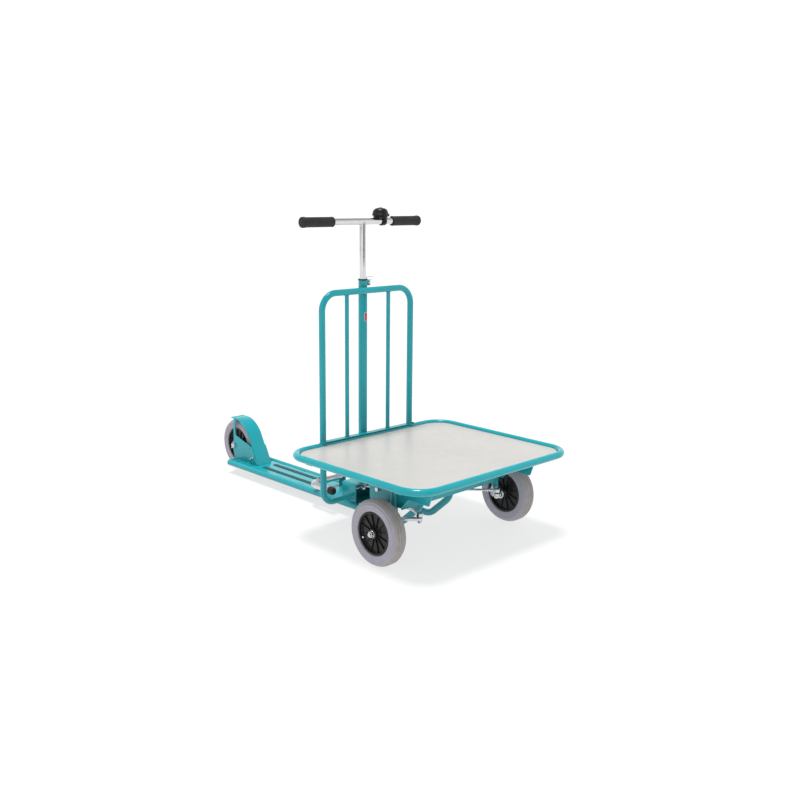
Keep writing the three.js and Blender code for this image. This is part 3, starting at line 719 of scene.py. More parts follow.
def column():
    at = (0, COLUMN_Y, 0)
    shell = ring(COLUMN_INNER, COLUMN_RADIUS, COLUMN.low.z, COLUMN_TOP - 0.1, at=at, ease=0.4, sides=72)
    stand_in("steering_column", shell)

    face = COLUMN_Y - COLUMN_RADIUS
    welds = [bead(loop_round((0, COLUMN_Y, COLUMN.low.z + 0.6), COLUMN_RADIUS + 0.4), 2.3)]
    for _, s in SIDES:
        welds.append(weld([(s * 5, face + 0.4, RIM_Z + rise) for rise in (-7, 7)]))
        welds.append(weld([(s * 5.5, face + 0.6, HOOP_TOP + rise) for rise in (-9, 6)], 2.2))
    piece("column_welds", joined(*welds), sharp=60)

    for end in ("bottom", "top"):
        bush = Span(f"column_bush_{end}")
        sleeve = ring(12.5, COLUMN_INNER - 0.2, bush.low.z, bush.high.z - 0.05, at=at, ease=0.2)
        stand_in(f"column_bush_{end}", sleeve, "black_plastic")

    label()


def label():
    """A thin curved sticker on the column, wrapped round the side that faces forward."""
    radius, middle, half_turn, low, high, thick = COLUMN_RADIUS, math.radians(-86), 0.47, 656, 684, 0.25
    across, rise, rim = 16, 14, 1.5
    rows = []
    for i in range(rise + 1):
        z = low + (high - low) * i / rise
        rows.append([(middle + half_turn * (2 * j / across - 1), z) for j in range(across + 1)])

    def on(r, angle, z):
        return Vector((r * math.cos(angle), COLUMN_Y + r * math.sin(angle), z))

    outer = [[on(radius + thick, *cell) for cell in row] for row in rows]
    inner = [[on(radius + 0.02, *cell) for cell in reversed(row)] for row in rows]
    shape = loft([a + b for a, b in zip(outer, inner)])
    sticker = piece("column_label", shape, material=LABEL)

    def border(point):
        angle = math.atan2(point.y - COLUMN_Y, point.x)
        from_side = (half_turn - abs(angle - middle)) * radius
        return 1.0 if min(from_side, point.z - low, high - point.z) < rim else 0.0

    store(sticker, "border", border)


# ---- deck

CHASSIS = Span("chassis_tube_left")
CHASSIS_TUBE = CHASSIS.half.x
CHASSIS_X = CHASSIS.mid.x
DECK_Z = CHASSIS.low.z + CHASSIS_TUBE
BRIDGE = Span("steering_bridge")
DECK = Span("deck_plate")


def deck():
    rise_y = Span("platform_crossbar_middle").mid.y
    welds = []
    for side, s in SIDES:
        x = s * CHASSIS_X
        rear = CHASSIS.high.y
        corners = [(rear - 2, DECK_Z), (CHASSIS_BEND_Y, DECK_Z), (rise_y, CHASSIS_RISE_Z),
                   (rise_y, BAR_UNDERSIDE + 1)]
        route = bent([(x, y, z) for y, z in corners], CHASSIS_BEND)
        end = [(0, rear - 3), (CHASSIS_TUBE - 0.4, rear - 3), (CHASSIS_TUBE - 0.4, rear - 1),
               (CHASSIS_TUBE - 4, rear), (0, rear)]
        cap = spindle(end, 1.5, "y", (x, 0, DECK_Z))
        stand_in(f"chassis_tube_{side}", joined(tube(route, CHASSIS_TUBE, TUBE_SIDES), cap))
        welds.append(bead(loop_round((x, rise_y, BAR_UNDERSIDE - 0.5), CHASSIS_TUBE)))
        edge = s * (DECK.high.x + 0.5)
        for k in range(5):
            start = DECK.low.y + 30 + 130 * k
            under = DECK.low.z - 0.5
            welds.append(weld([(edge, start + along, DECK.high.z) for along in (0, 26)]))
            welds.append(weld([(edge, start + along, under) for along in (60, 86)]))
        leg, foot = s * (BRIDGE.high.x + 0.6), BRIDGE.low.z + 0.8
        for _, t in SIDES:
            y = BRIDGE.mid.y + t * (BRIDGE.half.y - 16)
            welds.append(weld([(leg, y + along, foot) for along in (-12, 12)], 2.2))
    piece("deck_welds", joined(*welds), sharp=60)

    stand_in("deck_plate", block(DECK.low, DECK.high, corner=3))
    for side, _ in SIDES:
        strip = Span(f"grip_strip_{side}")
        low = Vector((strip.low.x, strip.low.y, DECK.high.z - 0.1))
        stand_in(f"grip_strip_{side}", block(low, strip.high, corner=4, ease=0.5), "grip_strip")

    half, top, foot, rear = BRIDGE.high.x, BRIDGE.high.z, BRIDGE.low.z - 1, BRIDGE.high.y
    room, ceiling = half - BRIDGE_WALL, top - BRIDGE_WALL
    arch = eased([(-half, foot, 0.5), (-room, foot, 0.5), (-room, ceiling, 4), (room, ceiling, 4),
                  (room, foot, 0.5), (half, foot, 0.5), (half, top, 9), (-half, top, 9)], 1, steps=6)
    back = block((-half + 1, rear - BRIDGE_WALL, foot), (half - 1, rear, top - 1), corner=2, axis="y")
    stand_in("steering_bridge", joined(plate(arch, "y", BRIDGE.low.y, rear), back))


# ---- front underframe

BEAM = Span("axle_beam")
KINGPIN = Span("kingpin_sleeve_left")


def underframe():
    low, high, wall = BEAM.low, BEAM.high, BEAM_WALL
    channel = eased([(low.y, low.z, 0.6), (low.y + wall, low.z, 0.6), (low.y + wall, high.z - wall, 3),
                     (high.y - wall, high.z - wall, 3), (high.y - wall, low.z, 0.6), (high.y, low.z, 0.6),
                     (high.y, high.z, 7), (low.y, high.z, 7)], 1, steps=6)
    stand_in("axle_beam", plate(channel, "x", low.x, high.x))

    welds, bolts = [], []
    radius, top = KINGPIN.half.x, KINGPIN.high.z
    for side, s in SIDES:
        web = Span(f"stringer_{side}")
        y, clear = KINGPIN.mid.y, radius + 0.3
        outline = eased([
            (web.low.y + STRINGER_SLANT, STRINGER_FRONT_BOTTOM, 3), (y - 60, STRINGER_FRONT_BOTTOM, 12),
            (y - 30, web.low.z, 12), (y - clear, web.low.z, 1), (y - clear, top + 0.3, 1),
            (y + clear, top + 0.3, 1), (y + clear, web.low.z, 1), (web.high.y, web.low.z, 8),
            (web.high.y, web.high.z, 1), (web.low.y, web.high.z, 1)], 1, steps=4)
        stand_in(f"stringer_{side}", plate(outline, "x", web.low.x, web.high.x))

        x = s * KINGPIN.mid.x
        sleeve = ring(KINGPIN_BORE, radius, KINGPIN.low.z, top, at=(x, y, 0), ease=0.8, sides=48)
        stand_in(f"kingpin_sleeve_{side}", sleeve)
        cap = [(0, top - 3), (8.6, top - 3), (8.6, top + 0.1), (0, top + 0.2)]
        bolts.append(turned(cap, at=(x, y, 0), sides=40))
        for t in (-1, 1):
            for run in ((web.low.z + 4, 196), (206, top - 4)):
                for face in (web.low.x, web.high.x):
                    welds.append(weld([(face, y + t * (radius - 0.4), z) for z in run], 1.8))
            welds.append(weld([(s * (high.x + 0.2), y + t * 9, z) for z in (165, 225)], 2.2))
        for bar_y in (Span("platform_crossbar_front").mid.y, Span("platform_crossbar_middle").mid.y):
            for t in (-1, 1):
                face = web.mid.x + t * 2.4
                welds.append(weld([(face, bar_y + along, web.high.z) for along in (-12, 12)]))
        face, back = s * web.outboard, s * web.inboard
        bolts.append(bolt(13, face, face + s * 7, back - s * 10, 4, "x", STRINGER_BOLT, washer=1.4))
        bolts.append(hexagon(13, *sorted((back, back - s * 6)), axis="x", at=STRINGER_BOLT))
    piece("underframe_welds", joined(*welds), sharp=60)
    piece("underframe_bolts", joined(*bolts), "zinc_plate")


# ---- rear fork and mudguard

REAR_TYRE = Span("tyre_rear")
AXLE_Y, AXLE_Z = REAR_TYRE.mid.y, REAR_TYRE.mid.z


def rear_fork():
    bolts, welds = [], []
    for side, s in SIDES:
        node = Span(f"fork_plate_{side}")
        inner, edge = node.inboard, node.outboard
        bottom, top, lobe = node.low.z, node.high.z, node.high.y - AXLE_Y
        strut_front, strut_rear = AXLE_Y - 10, AXLE_Y + 2
        lobe_arc = [(AXLE_Y + lobe * math.cos(a), AXLE_Z + lobe * math.sin(a), 0)
                    for a in (math.radians(-60 + 12 * k) for k in range(12))]
        nose = DECK.high.z + 0.2
        outline = [(strut_rear, top, 2), (strut_front - 6, top, 1), (strut_front, top - 22, 10),
                   (strut_front, 142, 8), (*FORK_SHOULDER, 4), (node.low.y, nose, 1), (FORK_FRONT, nose, 0),
                   (FORK_FRONT, bottom, 0), (FORK_HEEL, bottom, 1), *lobe_arc,
                   (strut_rear, AXLE_Z + lobe + 4, 5)]
        face = s * (inner + FORK_WALL)
        web = plate(eased(outline, 1, steps=5), "x", s * inner, face, [circle(*FORK_HOLE, 2.2, 20)])
        near, far = sorted((s * inner, s * edge))
        flange = block((near, FORK_FRONT, bottom), (far, FORK_HEEL, bottom + FORK_WALL), corner=2)
        stand_in(f"fork_plate_{side}", joined(web, flange))

        for y, z in FORK_BOLTS:
            bolts.append(bolt(8, face, face + s * 4.5, s * (inner - 6), 2.5, "x", (0, y, z), washer=0.8))
        for k in range(2):
            start, level = FORK_FRONT + 15 + 62 * k, bottom + FORK_WALL
            welds.append(weld([(s * (edge + 0.6), start + along, level) for along in (0, 36)]))
            welds.append(weld([(face, start + along, level) for along in (4, 28)], 1.7))
        welds.append(weld([(s * (inner + 0.2), y, top) for y in (strut_rear - 2, strut_front + 1)], 1.8))
    welds.append(weld([(x, DECK.high.y - 20, DECK.high.z + 0.4) for x in (-27, 27)], 1.8))
    piece("rear_fork_welds", joined(*welds), sharp=60)
    piece("rear_fork_bolts", joined(*bolts), "zinc_plate")

    mudguard()
    rear_axle()


def mudguard():
    """A bent strip round the wheel: a straight foot from the deck, the arc, and a straight tail."""
    guard = Span("mudguard")
    foot = Vector((guard.low.y + 1.5, guard.low.z))
    tail = Vector((guard.high.y - 0.6, GUARD_TAIL_Z))

    def touch(point, turn):
        offset = point - Vector((AXLE_Y, AXLE_Z))
        return math.atan2(offset.y, offset.x) + turn * math.acos(min(1.0, GUARD_RADIUS / offset.length))

    start, end = touch(foot, -1), touch(tail, 1)
    if start < 0:
        start += TAU
    steps = 40
    arc = []
    for k in range(steps + 1):
        angle = start + (end - start) * k / steps
        y, z = AXLE_Y + GUARD_RADIUS * math.cos(angle), AXLE_Z + GUARD_RADIUS * math.sin(angle)
        arc.append(Vector((y, z)))
    lip = tail + Vector((2.2, 1.8))
    route = [foot, *arc, tail, lip]
    half, deep = guard.half.x, GUARD_WALL / 2
    section = eased([(-half, -deep), (half, -deep), (half, deep), (-half, deep)], 1.2)
    rings = []
    for i, point in enumerate(route):
        along = (route[min(i + 1, len(route) - 1)] - route[max(i - 1, 0)]).normalized()
        out = Vector((along.y, -along.x))
        rings.append([Vector((x, *(point + out * h))) for x, h in section])
    stand_in("mudguard", loft(rings))


def rear_axle():
    axle = Span("rear_axle")
    nut = Span("rear_axle_nut")
    at = (0, AXLE_Y, AXLE_Z)
    head = bolt(19, axle.low.x + 7, axle.low.x, nut.high.x + 3, AXLE, "x", at, washer=1.8)
    spacer_out = 33.8
    right = ring(AXLE, 9, -REAR_TYRE.half.x - 9.4, -spacer_out + 3.5, "x", at)
    left = ring(AXLE, 9, spacer_out - 3.5, REAR_TYRE.half.x + 9.4, "x", at)
    stand_in("rear_axle", joined(head, right, left), "zinc_plate")
    washer = ring(AXLE + 0.1, 11.5, nut.low.x - 0.2, nut.low.x + 1.8, "x", at)
    hexed = hexagon(19, nut.low.x + 1.8, nut.high.x + 1.8, "x", at, bore=AXLE + 0.1)
    stand_in("rear_axle_nut", joined(hexed, washer), "zinc_plate")


# ---- wheels


def tyre_profile(radius, half, bead_radius):
    """The tyre's section: grooved crown, round shoulders, a stepped sidewall and the bead on the rim."""
    side = [
        (bead_radius, half - 6.5, 1), (bead_radius + 1.6, half - 2.6, 1.5), (bead_radius + 4, half - 1.6, 2),
        (bead_radius + 12, half - 0.4, 5), (radius - 15.5, half - 0.4, 1), (radius - 14.6, half + 0.3, 0.4),
        (radius - 12.6, half + 0.1, 0.4), (radius - 11.8, half - 1.5, 0.4), (radius - 7, half - 3.4, 4),
        (radius - 5, half - 4.6, 1), (radius - 4.8, half - 6, 0.5), (radius - 1.6, half - 10.6, 4),
    ]
    crown = [(radius - 0.9, half - 12.6, 0.3), (radius - 2, half - 13.1, 0.3), (radius - 2, half - 14.3, 0.3),
             (radius, half - 14.8, 0.3)]
    if half > 22:
        crown += [(radius, 3.4, 0.3), (radius - 1.3, 2.9, 0.3), (radius - 1.3, 1.7, 0.3), (radius, 1.2, 0.3)]
    right = side + crown
    left = [(r, -x, ease) for r, x, ease in reversed(right)]
    return eased(right + left, 0.5, steps=3)


def rim_shape(centre, half, lip, hub_half, bore):
    """A moulded rim: barrel, web with a hole through it, hub, and ribs on both faces."""
    outer, barrel, hub, web = 65.2, 59.5, 15.5, half - 12.5
    edge = lip + 0.4
    barrel_profile = [(barrel - 0.5, -lip), (outer - 1.6, -edge), (outer, -edge + 1.2), (outer, edge - 1.2),
                      (outer - 1.6, edge), (barrel - 0.5, lip), (barrel - 0.5, web + 1.5), (barrel - 3, web),
                      (barrel - 3, -web), (barrel - 0.5, -web - 1.5)]
    hub_profile = [(bore, -hub_half), (hub - 2, -hub_half), (hub, -hub_half + 1.5), (hub + 1, -web - 1),
                   (hub + 4, -web), (hub + 4, web), (hub + 1, web + 1), (hub, hub_half - 1.5),
                   (hub - 2, hub_half), (bore, hub_half)]
    shapes = [turned(eased(barrel_profile, 0.9), "x", centre, 96),
              turned(eased(hub_profile, 0.9), "x", centre, 64)]

    hole = circle(0, 0, hub + 2, 64)
    disc_plate = plate(circle(0, 0, barrel - 2, 96), "x", -web + 0.3, web - 0.3, [hole], ease=0.2)
    shapes.append(shifted(disc_plate, centre))

    rib = eased([(hub - 1, web - 1), (barrel, web - 1), (barrel, lip - 4), (hub + 14, lip - 4.5),
                 (hub - 1, lip - 2)], 2)
    for k in range(RIBS):
        for face in (-1, 1):
            flat = plate([(face * x, r) for r, x in rib], "y", -0.9, 0.9, ease=0.4)
            shapes.append(shifted(spun(flat, TAU * (k + 0.5) / RIBS), centre))
    return joined(*shapes)


def wheel(name):
    tyre, rim = Span(f"tyre_{name}"), Span(f"rim_{name}")
    centre, radius, half = tyre.mid, tyre.half.z, tyre.half.x
    shape = turned(tyre_profile(radius, half, rim.half.z + 0.3), "x", centre, 128)
    tyre_piece = stand_in(f"tyre_{name}", shape, "grey_tyre", sharp=32)
    store(tyre_piece, "wheel_radius", lambda point: math.hypot(point.y - centre.y, point.z - centre.z))
    stand_in(f"rim_{name}", rim_shape(centre, half, half - 4.5, rim.half.x, AXLE + 0.4), "black_plastic")
    body = BODY_OF[f"rim_{name}"]
    stud_at = centre + Vector((0, STUD_REACH * math.cos(STUD_ANGLE), STUD_REACH * math.sin(STUD_ANGLE)))
    stud = disc(3.4, 5.5 - half, half - 5.5, "x", stud_at, ease=1.4, sides=28)
    piece(f"rim_stud_{name}", stud, "chrome", body)
    end = rim.half.x
    for _, s in SIDES:
        seal = ring(6.5, 11, *sorted((s * (end - 2), s * (end + 0.1))), axis="x", at=centre, ease=0.3)
        tag = "outer" if s * centre.x > 0 or (centre.x == 0 and s > 0) else "inner"
        piece(f"hub_bearing_{name}_{tag}", seal, "zinc_plate", body)


# ---- steering linkage

FRONT_Y = Span("tyre_front_left").mid.y
KINGPIN_X = KINGPIN.mid.x


def capsule(start, end, radius, low, high, steps=10, ease=SHEET_EDGE):
    """A flat bar with round ends, lying across Z."""
    a, b = Vector(start), Vector(end)
    heading = math.atan2(*(b - a).yx)
    outline = []
    for centre, first in ((b, heading - math.pi / 2), (a, heading + math.pi / 2)):
        for k in range(steps + 1):
            angle = first + math.pi * k / steps
            outline.append(tuple(centre + Vector((math.cos(angle), math.sin(angle))) * radius))
    return plate(outline, "z", low, high, ease=ease)


def knuckle(side, s):
    x, y = s * KINGPIN_X, FRONT_Y
    node = Span(f"knuckle_{side}")
    hub_face = s * (Span(f"rim_front_{side}").inboard - 0.5)
    hub = (0, y, AXLE_Z)
    eye = (x - s * ARM_IN, y - ARM_FORWARD)
    arm_end = (*eye, 0)
    cheek = sorted((x - s * 10, x + s * 22))
    body = [
        disc(7, ARM_LOW, KINGPIN.high.z - 4, at=(x, y, 0)),
        disc(KINGPIN.half.x + 0.5, ARM_LOW - 2, KINGPIN.low.z - 0.4, at=(x, y, 0), ease=0.8),
        block((cheek[0], y - 11, 100), (cheek[1], y + 11, ARM_HIGH - 2), corner=3, ease=1.5),
        disc(13, x + s * 14, x + s * 26, "x", hub, ease=1),
        ring(AXLE, 11.5, *sorted((x + s * 25, hub_face)), axis="x", at=hub, ease=0.8),
        disc(AXLE, *sorted((x + s * 10, s * node.outboard)), axis="x", at=hub, ease=0.8),
        capsule((x, y), eye, 8.5, ARM_LOW, ARM_HIGH, ease=1),
        disc(4, ARM_LOW - 9, CUP_Z + 2, at=arm_end),
        hexagon(13, ARM_LOW - 7, ARM_LOW, at=arm_end),
        ring(3.6, 8, ARM_LOW - 0.9, ARM_LOW - 0.1, at=arm_end, ease=0.2),
    ]
    stand_in(f"knuckle_{side}", joined(*body), "zinc_plate")
    flange = ring(AXLE, 16.5, *sorted((x + s * 24, x + s * 29)), axis="x", at=hub, ease=1)
    piece(f"stub_flange_{side}", flange, "chrome", f"knuckle_{side}")
    profile = [(radius, ARM_HIGH + rise) for radius, rise in
               ((4.2, 0), (7.2, 0), (8.4, 1.2), (7.4, 2.4), (6.2, 3.2), (4.2, 3.4))]
    boot = turned(eased(profile, 0.6), at=arm_end, sides=40)
    piece(f"ball_boot_{side}", boot, "black_rubber", f"knuckle_{side}")

    nut = Span(f"axle_nut_{side}")
    face, end = (nut.low.x, nut.high.x) if s > 0 else (nut.high.x, nut.low.x)
    parts = [ring(6.2, 10.5, *sorted((face, face + s * 1.6)), axis="x", at=hub),
             hexagon(17, *sorted((face + s * 1.6, end + s * 0.4)), axis="x", at=hub, bore=6.2)]
    stand_in(f"axle_nut_{side}", joined(*parts), "chrome")


def shank_to(start, end, radius, flats):
    """A threaded shank from a joint towards a rod: a hexagon part, a lock nut and the rod between them."""
    a, b = Vector(start), Vector(end)
    turn = Vector((0, 0, 1)).rotation_difference((b - a).normalized()).to_matrix().to_4x4()
    lay = Matrix.Translation(a) @ turn
    length = (b - a).length
    parts = [disc(radius, 7, length - 9, sides=28)]
    for from_start, sign in ((7, 1), (length - 9, -1)):
        ends = sorted((from_start, from_start + sign * 16))
        parts.append(hexagon(flats, *ends))
        nut = sorted((from_start + sign * 18, from_start + sign * 23))
        parts.append(hexagon(flats + 1.5, *nut))
    return placed(joined(*parts), lay)


def drag_link(side, s):
    """The left link lies on the pitman arm and the right one hangs under it, so their lids face apart."""
    start = (-s * PITMAN_REACH, COLUMN_Y, LINK_NEAR_Z[side])
    end = (s * (KINGPIN_X - ARM_IN), FRONT_Y - ARM_FORWARD, CUP_Z)
    eye = turned(eased([(4.7, -4.5), (9, -4.5), (9, 4.5), (4.7, 4.5)], 1.2), at=start, sides=48)
    cover = [(0, 3.4), (7.4, 3.4), (6.6, 4.8), (0, 5.4)]
    if s < 0:
        cover = [(radius, -rise) for radius, rise in reversed(cover)]
    lid = spindle(cover, 0.5, at=start, sides=40)
    cup_profile = [(8, -6), (10.4, -6), (10.4, 4.2), (8.6, 5.8), (0.5, 6.2), (0.5, 4.4), (8, 4.2)]
    cup = turned(eased(cup_profile, 0.9), at=end, sides=48)
    stand_in(f"drag_link_{side}", joined(eye, lid, cup, shank_to(start, end, 3.8, 9.5)), "zinc_plate")


def steering():
    tube_span = Span("steering_tube")
    at = (0, COLUMN_Y, 0)
    shaft = ring(STEERING_INNER, tube_span.high.x, tube_span.low.z, tube_span.high.z, at=at, ease=0.5)
    end_cap = disc(STEERING_INNER + 0.2, tube_span.low.z - 0.1, tube_span.low.z + 3, at=at)
    stand_in("steering_tube", joined(shaft, end_cap), "zinc_plate")

    arm = Span("pitman_arm")
    low, high = PITMAN_LOW, PITMAN_HIGH
    right, left = (-PITMAN_REACH, COLUMN_Y, 0), (PITMAN_REACH, COLUMN_Y, 0)
    parts = [capsule(right[:2], left[:2], 9, low, high), disc(17, low - 0.2, high + 0.2, at=at),
             ring(tube_span.high.x, 14.5, high, high + 7, at=at),
             disc(4, arm.low.z + 4, arm.high.z, at=right, sides=28),
             disc(4, arm.low.z, high + 7, at=left, sides=28),
             hexagon(11, low - 5.5, low, at=right), hexagon(11, high, high + 5.5, at=left)]
    stand_in("pitman_arm", joined(*parts), "zinc_plate")
    for side, s in SIDES:
        knuckle(side, s)
        drag_link(side, s)


# ---- clamp, handlebar and bell


def clamp():
    collar = Span("clamp_collar")
    low, high = collar.low.z, collar.high.z
    at = (0, COLUMN_Y, 0)
    inner, outer, lug_end, half_slit = COLLAR_INNER, COLUMN_RADIUS, collar.high.x, 1.0
    first = math.asin(half_slit / outer)
    section = []
    for k in range(65):
        angle = first + (TAU - 2 * first) * k / 64
        section.append((outer * math.cos(angle), outer * math.sin(angle)))
    for k in range(65):
        angle = TAU - first * outer / inner - (TAU - 2 * first * outer / inner) * k / 64
        section.append((inner * math.cos(angle), inner * math.sin(angle)))
    band = plate(section, "z", low, high, ease=0.4)
    lugs = []
    outline = eased([(outer - 3, low + 2.4, 0.5), (lug_end, low + 2.4, 5), (lug_end, high - 1, 5),
                     (outer - 3, high - 1, 0.5)], 1, steps=5)
    bolt_hole = circle(CLAMP_BOLT_X, CLAMP_BOLT_Z, 3.2, 28)
    for t in (-1, 1):
        lugs.append(plate(outline, "y", *sorted((t * half_slit, t * 7)), holes=[bolt_hole]))
    stand_in("clamp_collar", shifted(joined(band, *lugs), at))

    bush = Span("stem_bush")
    shape = ring(11, bush.high.x, bush.low.z - 0.3, bush.high.z, at=at, ease=0.9)
    stand_in("stem_bush", shape, "black_plastic")

    bolt_at, pivot = (CLAMP_BOLT_X, COLUMN_Y, CLAMP_BOLT_Z), Vector((CLAMP_BOLT_X, COLUMN_Y + CAM_BEHIND, 0))
    parts = [
        disc(2.6, -8, CAM_BEHIND, "y", bolt_at, sides=24),
        disc(4.2, -9.3, -6.9, "y", bolt_at, ease=0.8),
        disc(2.5, CLAMP_BOLT_Z - 8.2, CLAMP_BOLT_Z + 8.2, at=pivot, sides=28, ease=0.4),
    ]
    stand_in("clamp_bolt", joined(*parts), "zinc_plate")
    clamp_lever(CLAMP_BOLT_X, COLUMN_Y + CAM_BEHIND, CLAMP_BOLT_Z)


def clamp_lever(x, y, z):
    """A forked cam on the bolt's pivot, and two thin blades, one above the other, that point outwards."""
    forks = [ring(2.7, 6.5, z + low, z + high, at=(x, y, 0), ease=0.5, sides=40)
             for low, high in ((-6, -3.5), (3.5, 7))]
    bridge = block((x + 3.6, y - 5, z - 6), (x + 6.2, y + 5, z + 17.5), corner=1.2)
    blades = []
    for reach, low in ((30, 7), (38, 15.4)):
        spine = [(4.5, 0), (12, 0), (reach - 10, 0.2), (reach - 3, 0.1), (reach, -0.5)]
        rings = []
        for i, (u, v) in enumerate(spine):
            half = 5 if i < 3 else 7.2 - i
            section = eased([(-half, 0), (half, 0), (half, 2), (-half, 2)], 0.9)
            rings.append([Vector((x + u, y + w, z + low + v + h)) for w, h in section])
        blades.append(loft(rings))
    stand_in("clamp_lever", joined(*forks, bridge, *blades), "zinc_plate")


def handlebar():
    stem, bar = Span("handlebar_stem"), Span("handlebar_crossbar")
    y, z, radius = COLUMN_Y, bar.mid.z, bar.half.z
    post = disc(stem.half.x, stem.low.z, z - 2, at=(0, y, 0), ease=1.2, sides=64)
    seam = saddle(0, y, stem.half.x, y, z, radius + 0.4, up=-1)
    stand_in("handlebar_stem", joined(post, bead(seam, 1.7)), "chrome", sharp=50)
    across = disc(radius, -bar.high.x, bar.high.x, "x", (0, y, z), ease=1, sides=64)
    stand_in("handlebar_crossbar", across, "chrome")
    for side, s in SIDES:
        grip(side, s, (0, y, z))
    bell(y, z, radius)


def grip(side, s, at):
    """A moulded grip: a rounded cuff, a fluted sleeve and a thicker closed end."""
    span = Span(f"grip_{side}")
    inner_end, outer_end = span.inboard, span.outboard
    cuff = [(inner_end, 11.2), (inner_end + 0.6, 14), (inner_end + 3, 16.2), (inner_end + 6, 16.2),
            (inner_end + 8, 15.6)]
    fluted = [inner_end + 9 + (outer_end - inner_end - 30) * k / 24 for k in range(25)]
    ending = [(outer_end - 17, 15.7), (outer_end - 14, 16.4), (outer_end - 10, 17), (outer_end - 4.5, 17),
              (outer_end - 1.8, 16), (outer_end - 0.4, 13.2), (outer_end, 8)]
    stations = [(x, r, 0.0) for x, r in cuff]
    stations += [(x, 15.7, 0.45) for x in fluted]
    stations += [(x, r, 0.0) for x, r in ending]
    sides = FLUTES * 4
    rings = []
    for x, r, depth in stations:
        row = []
        for j in range(sides):
            angle = TAU * j / sides
            deep = r - depth * (1 - math.cos(angle * FLUTES)) / 2
            row.append(Vector((s * x, at[1] + deep * math.cos(angle), at[2] + deep * math.sin(angle))))
        rings.append(row)
    stand_in(f"grip_{side}", loft(rings), "black_rubber", sharp=50)


def bell(y, z, bar_radius):
    base, dome, lever = Span("bell_base"), Span("bell_dome"), Span("bell_lever")
    x, cup = dome.mid.x, dome.mid.x - base.low.x
    at = (x, y, 0)
    ring_low, ring_high = BELL_CLIP
    cup_low, cup_high = z + bar_radius - 3, base.high.z
    profile = [(0, cup_low), (cup - 9, cup_low), (cup, cup_high - 3), (cup, cup_high), (0, cup_high)]
    cup_shape = spindle(profile, 1.5, at=at)
    clip = ring(bar_radius + 0.3, bar_radius + 3.6, ring_low, ring_high, "x", (0, y, z), ease=1)
    neck = block((ring_low, y - 8, z + bar_radius), (ring_high, y + 8, z + bar_radius + 9), corner=3, ease=1)
    front = y - bar_radius
    screw = disc(2.6, front - 8, front - 2, "y", (ring_low + 8, 0, z - 3), sides=24)
    low, high = (ring_low + 3, front - 6.5, z - 7.5), (ring_low + 13, front + 1, z + 1.5)
    ear = block(low, high, corner=1.5, ease=0.8)
    stand_in("bell_base", joined(cup_shape, clip, neck, ear, screw), "black_plastic")

    low, top, radius = dome.low.z, dome.high.z, dome.half.x
    crown = [(0, low), (radius - 0.6, low), (radius, low + 1), (radius, low + 4.5), (radius - 1, low + 6),
             (radius - 1.6, low + 6.4)]
    for k in range(1, 15):
        angle = math.radians(90 * k / 15)
        rise = (top - 1.4 - low - 6.4) * math.sin(angle)
        crown.append(((radius - 1.6) * math.cos(angle) ** 0.62, low + 6.4 + rise))
    crown += [(6.5, top - 1.1), (5.6, top - 0.2), (4, top), (0, top)]
    stand_in("bell_dome", spindle(crown, 0.5, at=at, sides=96, steps=2), "black_plastic", sharp=50)

    flat_low, flat_high = lever.low.z, lever.low.z + 2.4
    tip = lever.high.x
    pad = eased([(tip - 5.5, y - 7), (tip, y - 5.5), (tip, y + 5.5), (tip - 5.5, y + 7)], 3, steps=5)
    parts = [disc(cup - 1, flat_low, flat_high, at=at),
             block((x, y - 4, flat_low), (tip - 3, y + 4, flat_high), corner=1.5),
             plate(pad, "z", flat_low, lever.high.z - 1, ease=1.2)]
    stand_in("bell_lever", joined(*parts), "black_plastic")


# ---- parking stand


def parking_stand():
    bar = Span("stand_bar")
    radius = bar.half.z
    x, y, z = bar.high.x - radius, bar.high.y - radius, bar.mid.z
    foot_tip = bar.low.y
    route = bent([(x, foot_tip, z), (x, y, z), (-x, y, z), (-x, foot_tip, z)], STAND_BEND)
    stand_in("stand_bar", tube(route, radius, 40), "chrome")
    welds = []
    for side, _ in SIDES:
        foot = Span(f"stand_foot_{side}")
        outer, tip, rear = foot.half.x, foot.low.y, foot.high.y
        tilts = [math.radians(15 * k) for k in range(7)]
        dome = [(outer * math.sin(a), tip + 8 * (1 - math.cos(a)), 0) for a in tilts]
        profile = [*dome, (outer, tip + 15), (outer - 1.4, tip + 16.5), (outer - 1.4, tip + 18),
                   (outer, tip + 19.5), (outer, tip + 24), (outer - 1.4, tip + 25.5),
                   (outer - 1.4, rear - 1.5), (outer - 2.4, rear), (radius + 0.2, rear),
                   (radius + 0.2, tip + 4), (0, tip + 4)]
        shape = spindle(profile, 1, "y", (foot.mid.x, 0, z))
        stand_in(f"stand_foot_{side}", shape, "black_rubber")

        bracket = Span(f"stand_bracket_{side}")
        half = bracket.half.y
        cheek = [(y - half, bracket.low.z - 0.4, 0), (y + half, bracket.low.z - 0.4, 0)]
        angles = [math.pi * k / 20 for k in range(21)]
        cheek += [(y + half * math.cos(a), z + half * math.sin(a), 0) for a in angles]
        shape = plate(eased(cheek, 0), "x", bracket.low.x, bracket.high.x, [circle(y, z, radius + 0.5, 48)])
        stand_in(f"stand_bracket_{side}", shape)
        for t in (-1, 1):
            face = (bracket.low.x if t < 0 else bracket.high.x) + t * 0.5
            welds.append(weld([(face, y + t2 * (half - 3), bracket.low.z) for t2 in (-1, 1)]))
    piece("stand_bracket_welds", joined(*welds), sharp=60)


# ---- camera, floor and light


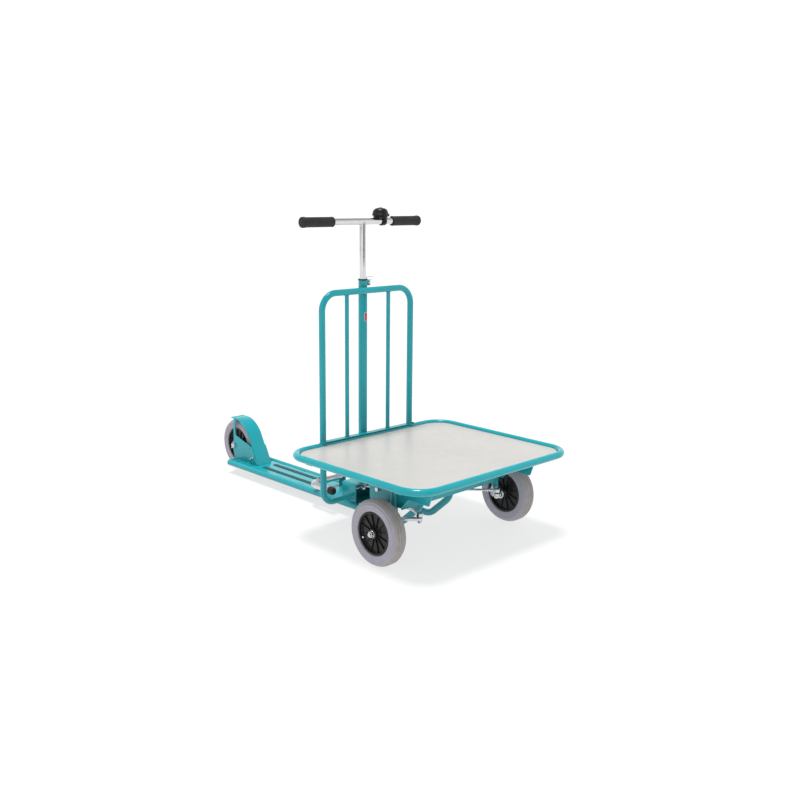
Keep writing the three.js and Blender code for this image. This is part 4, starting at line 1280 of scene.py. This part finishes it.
# each dim panel: its direction, the cosines where it begins and is fully dim, and its level
DIM_SIDES = (((-0.04, -1.0, 0.0), 0.86, 0.95, 0.12), ((-0.44, 0.90, 0.0), 0.955, 0.985, 0.14))
SUN_FROM = (-0.06, 0.03, 1)  # almost straight overhead
SUN_POWER, SUN_ANGLE = 2.4, math.radians(13)
FOCAL_LENGTH = 43.05
CAMERA_AT = (-2.0944, -2.4296, 1.0610)
CAMERA_RIGHT, CAMERA_FORWARD = (0.7179, -0.6962, 0.0085), (0.6820, 0.7007, -0.2095)
FLOOR_REACH = 60


def pale_floor():
    """White paper that glows a little, so that it is white in the light and light grey in the shadow."""
    material, tree, surface = start_finish("pale_floor")
    paper = mottled(tree, 3, 3, (0.27, 0.27, 0.272), (0.26, 0.26, 0.262))
    feed(tree, surface, Base_Color=paper, Roughness=0.8, Specular_IOR_Level=0.1,
         Emission_Color=(1, 1, 1, 1), Emission_Strength=0.70)
    return material


def surroundings():
    """A white room, softer towards its ceiling, with dim panels that only reflections show."""
    world = bpy.data.worlds.new("studio")
    world.use_nodes = True
    tree = world.node_tree
    toward = add(tree, "ShaderNodeTexCoord").outputs["Generated"]
    height = add(tree, "ShaderNodeSeparateXYZ", {"Vector": toward}).outputs["Z"]
    light = ranged(tree, height, 1.04, 0.45, 0.25, 0.75)
    seen_directly = add(tree, "ShaderNodeLightPath").outputs["Is Camera Ray"]
    for side, edge, middle, level in DIM_SIDES:
        facing = add(tree, "ShaderNodeVectorMath", {0: toward, 1: side}, operation="DOT_PRODUCT")
        dimmer = ranged(tree, facing.outputs["Value"], 1.0, level, edge, middle)
        dimmer = add(tree, "ShaderNodeMath", {0: dimmer, 1: seen_directly}, operation="MAXIMUM").outputs[0]
        light = add(tree, "ShaderNodeMath", {0: light, 1: dimmer}, operation="MULTIPLY").outputs[0]
    tree.links.new(light, tree.nodes["Background"].inputs["Strength"])
    tree.nodes["Background"].inputs["Color"].default_value = (1, 1, 1, 1)
    return world


def studio():
    scene = bpy.context.scene
    lens = bpy.data.cameras.new("camera")
    lens.lens, lens.sensor_width = FOCAL_LENGTH, 36
    camera = bpy.data.objects.new("camera", lens)
    right, forward = Vector(CAMERA_RIGHT).normalized(), Vector(CAMERA_FORWARD).normalized()
    up = right.cross(forward).normalized()
    facing = Matrix((right, up, -forward)).transposed().to_4x4()
    camera.matrix_world = Matrix.Translation(CAMERA_AT) @ facing
    scene.collection.objects.link(camera)
    scene.camera = camera

    floor = bpy.data.objects.new("floor", bpy.data.meshes.new("floor"))
    reach = FLOOR_REACH
    corners = [(-reach, -reach, 0), (reach, -reach, 0), (reach, reach, 0), (-reach, reach, 0)]
    floor.data.from_pydata(corners, [], [(0, 1, 2, 3)])
    floor.data.materials.append(pale_floor())
    scene.collection.objects.link(floor)

    scene.world = surroundings()
    data = bpy.data.lights.new("overhead", "SUN")
    data.energy, data.angle = SUN_POWER, SUN_ANGLE
    light = bpy.data.objects.new("overhead", data)
    aim = (-Vector(SUN_FROM)).to_track_quat("-Z", "Y")
    light.matrix_world = aim.to_matrix().to_4x4()
    scene.collection.objects.link(light)
    scene.view_settings.view_transform = "Standard"


studio()
platform()
backrest()
column()
deck()
underframe()
rear_fork()
for wheel_name in ("rear", "front_left", "front_right"):
    wheel(wheel_name)
steering()
clamp()
handlebar()
parking_stand()
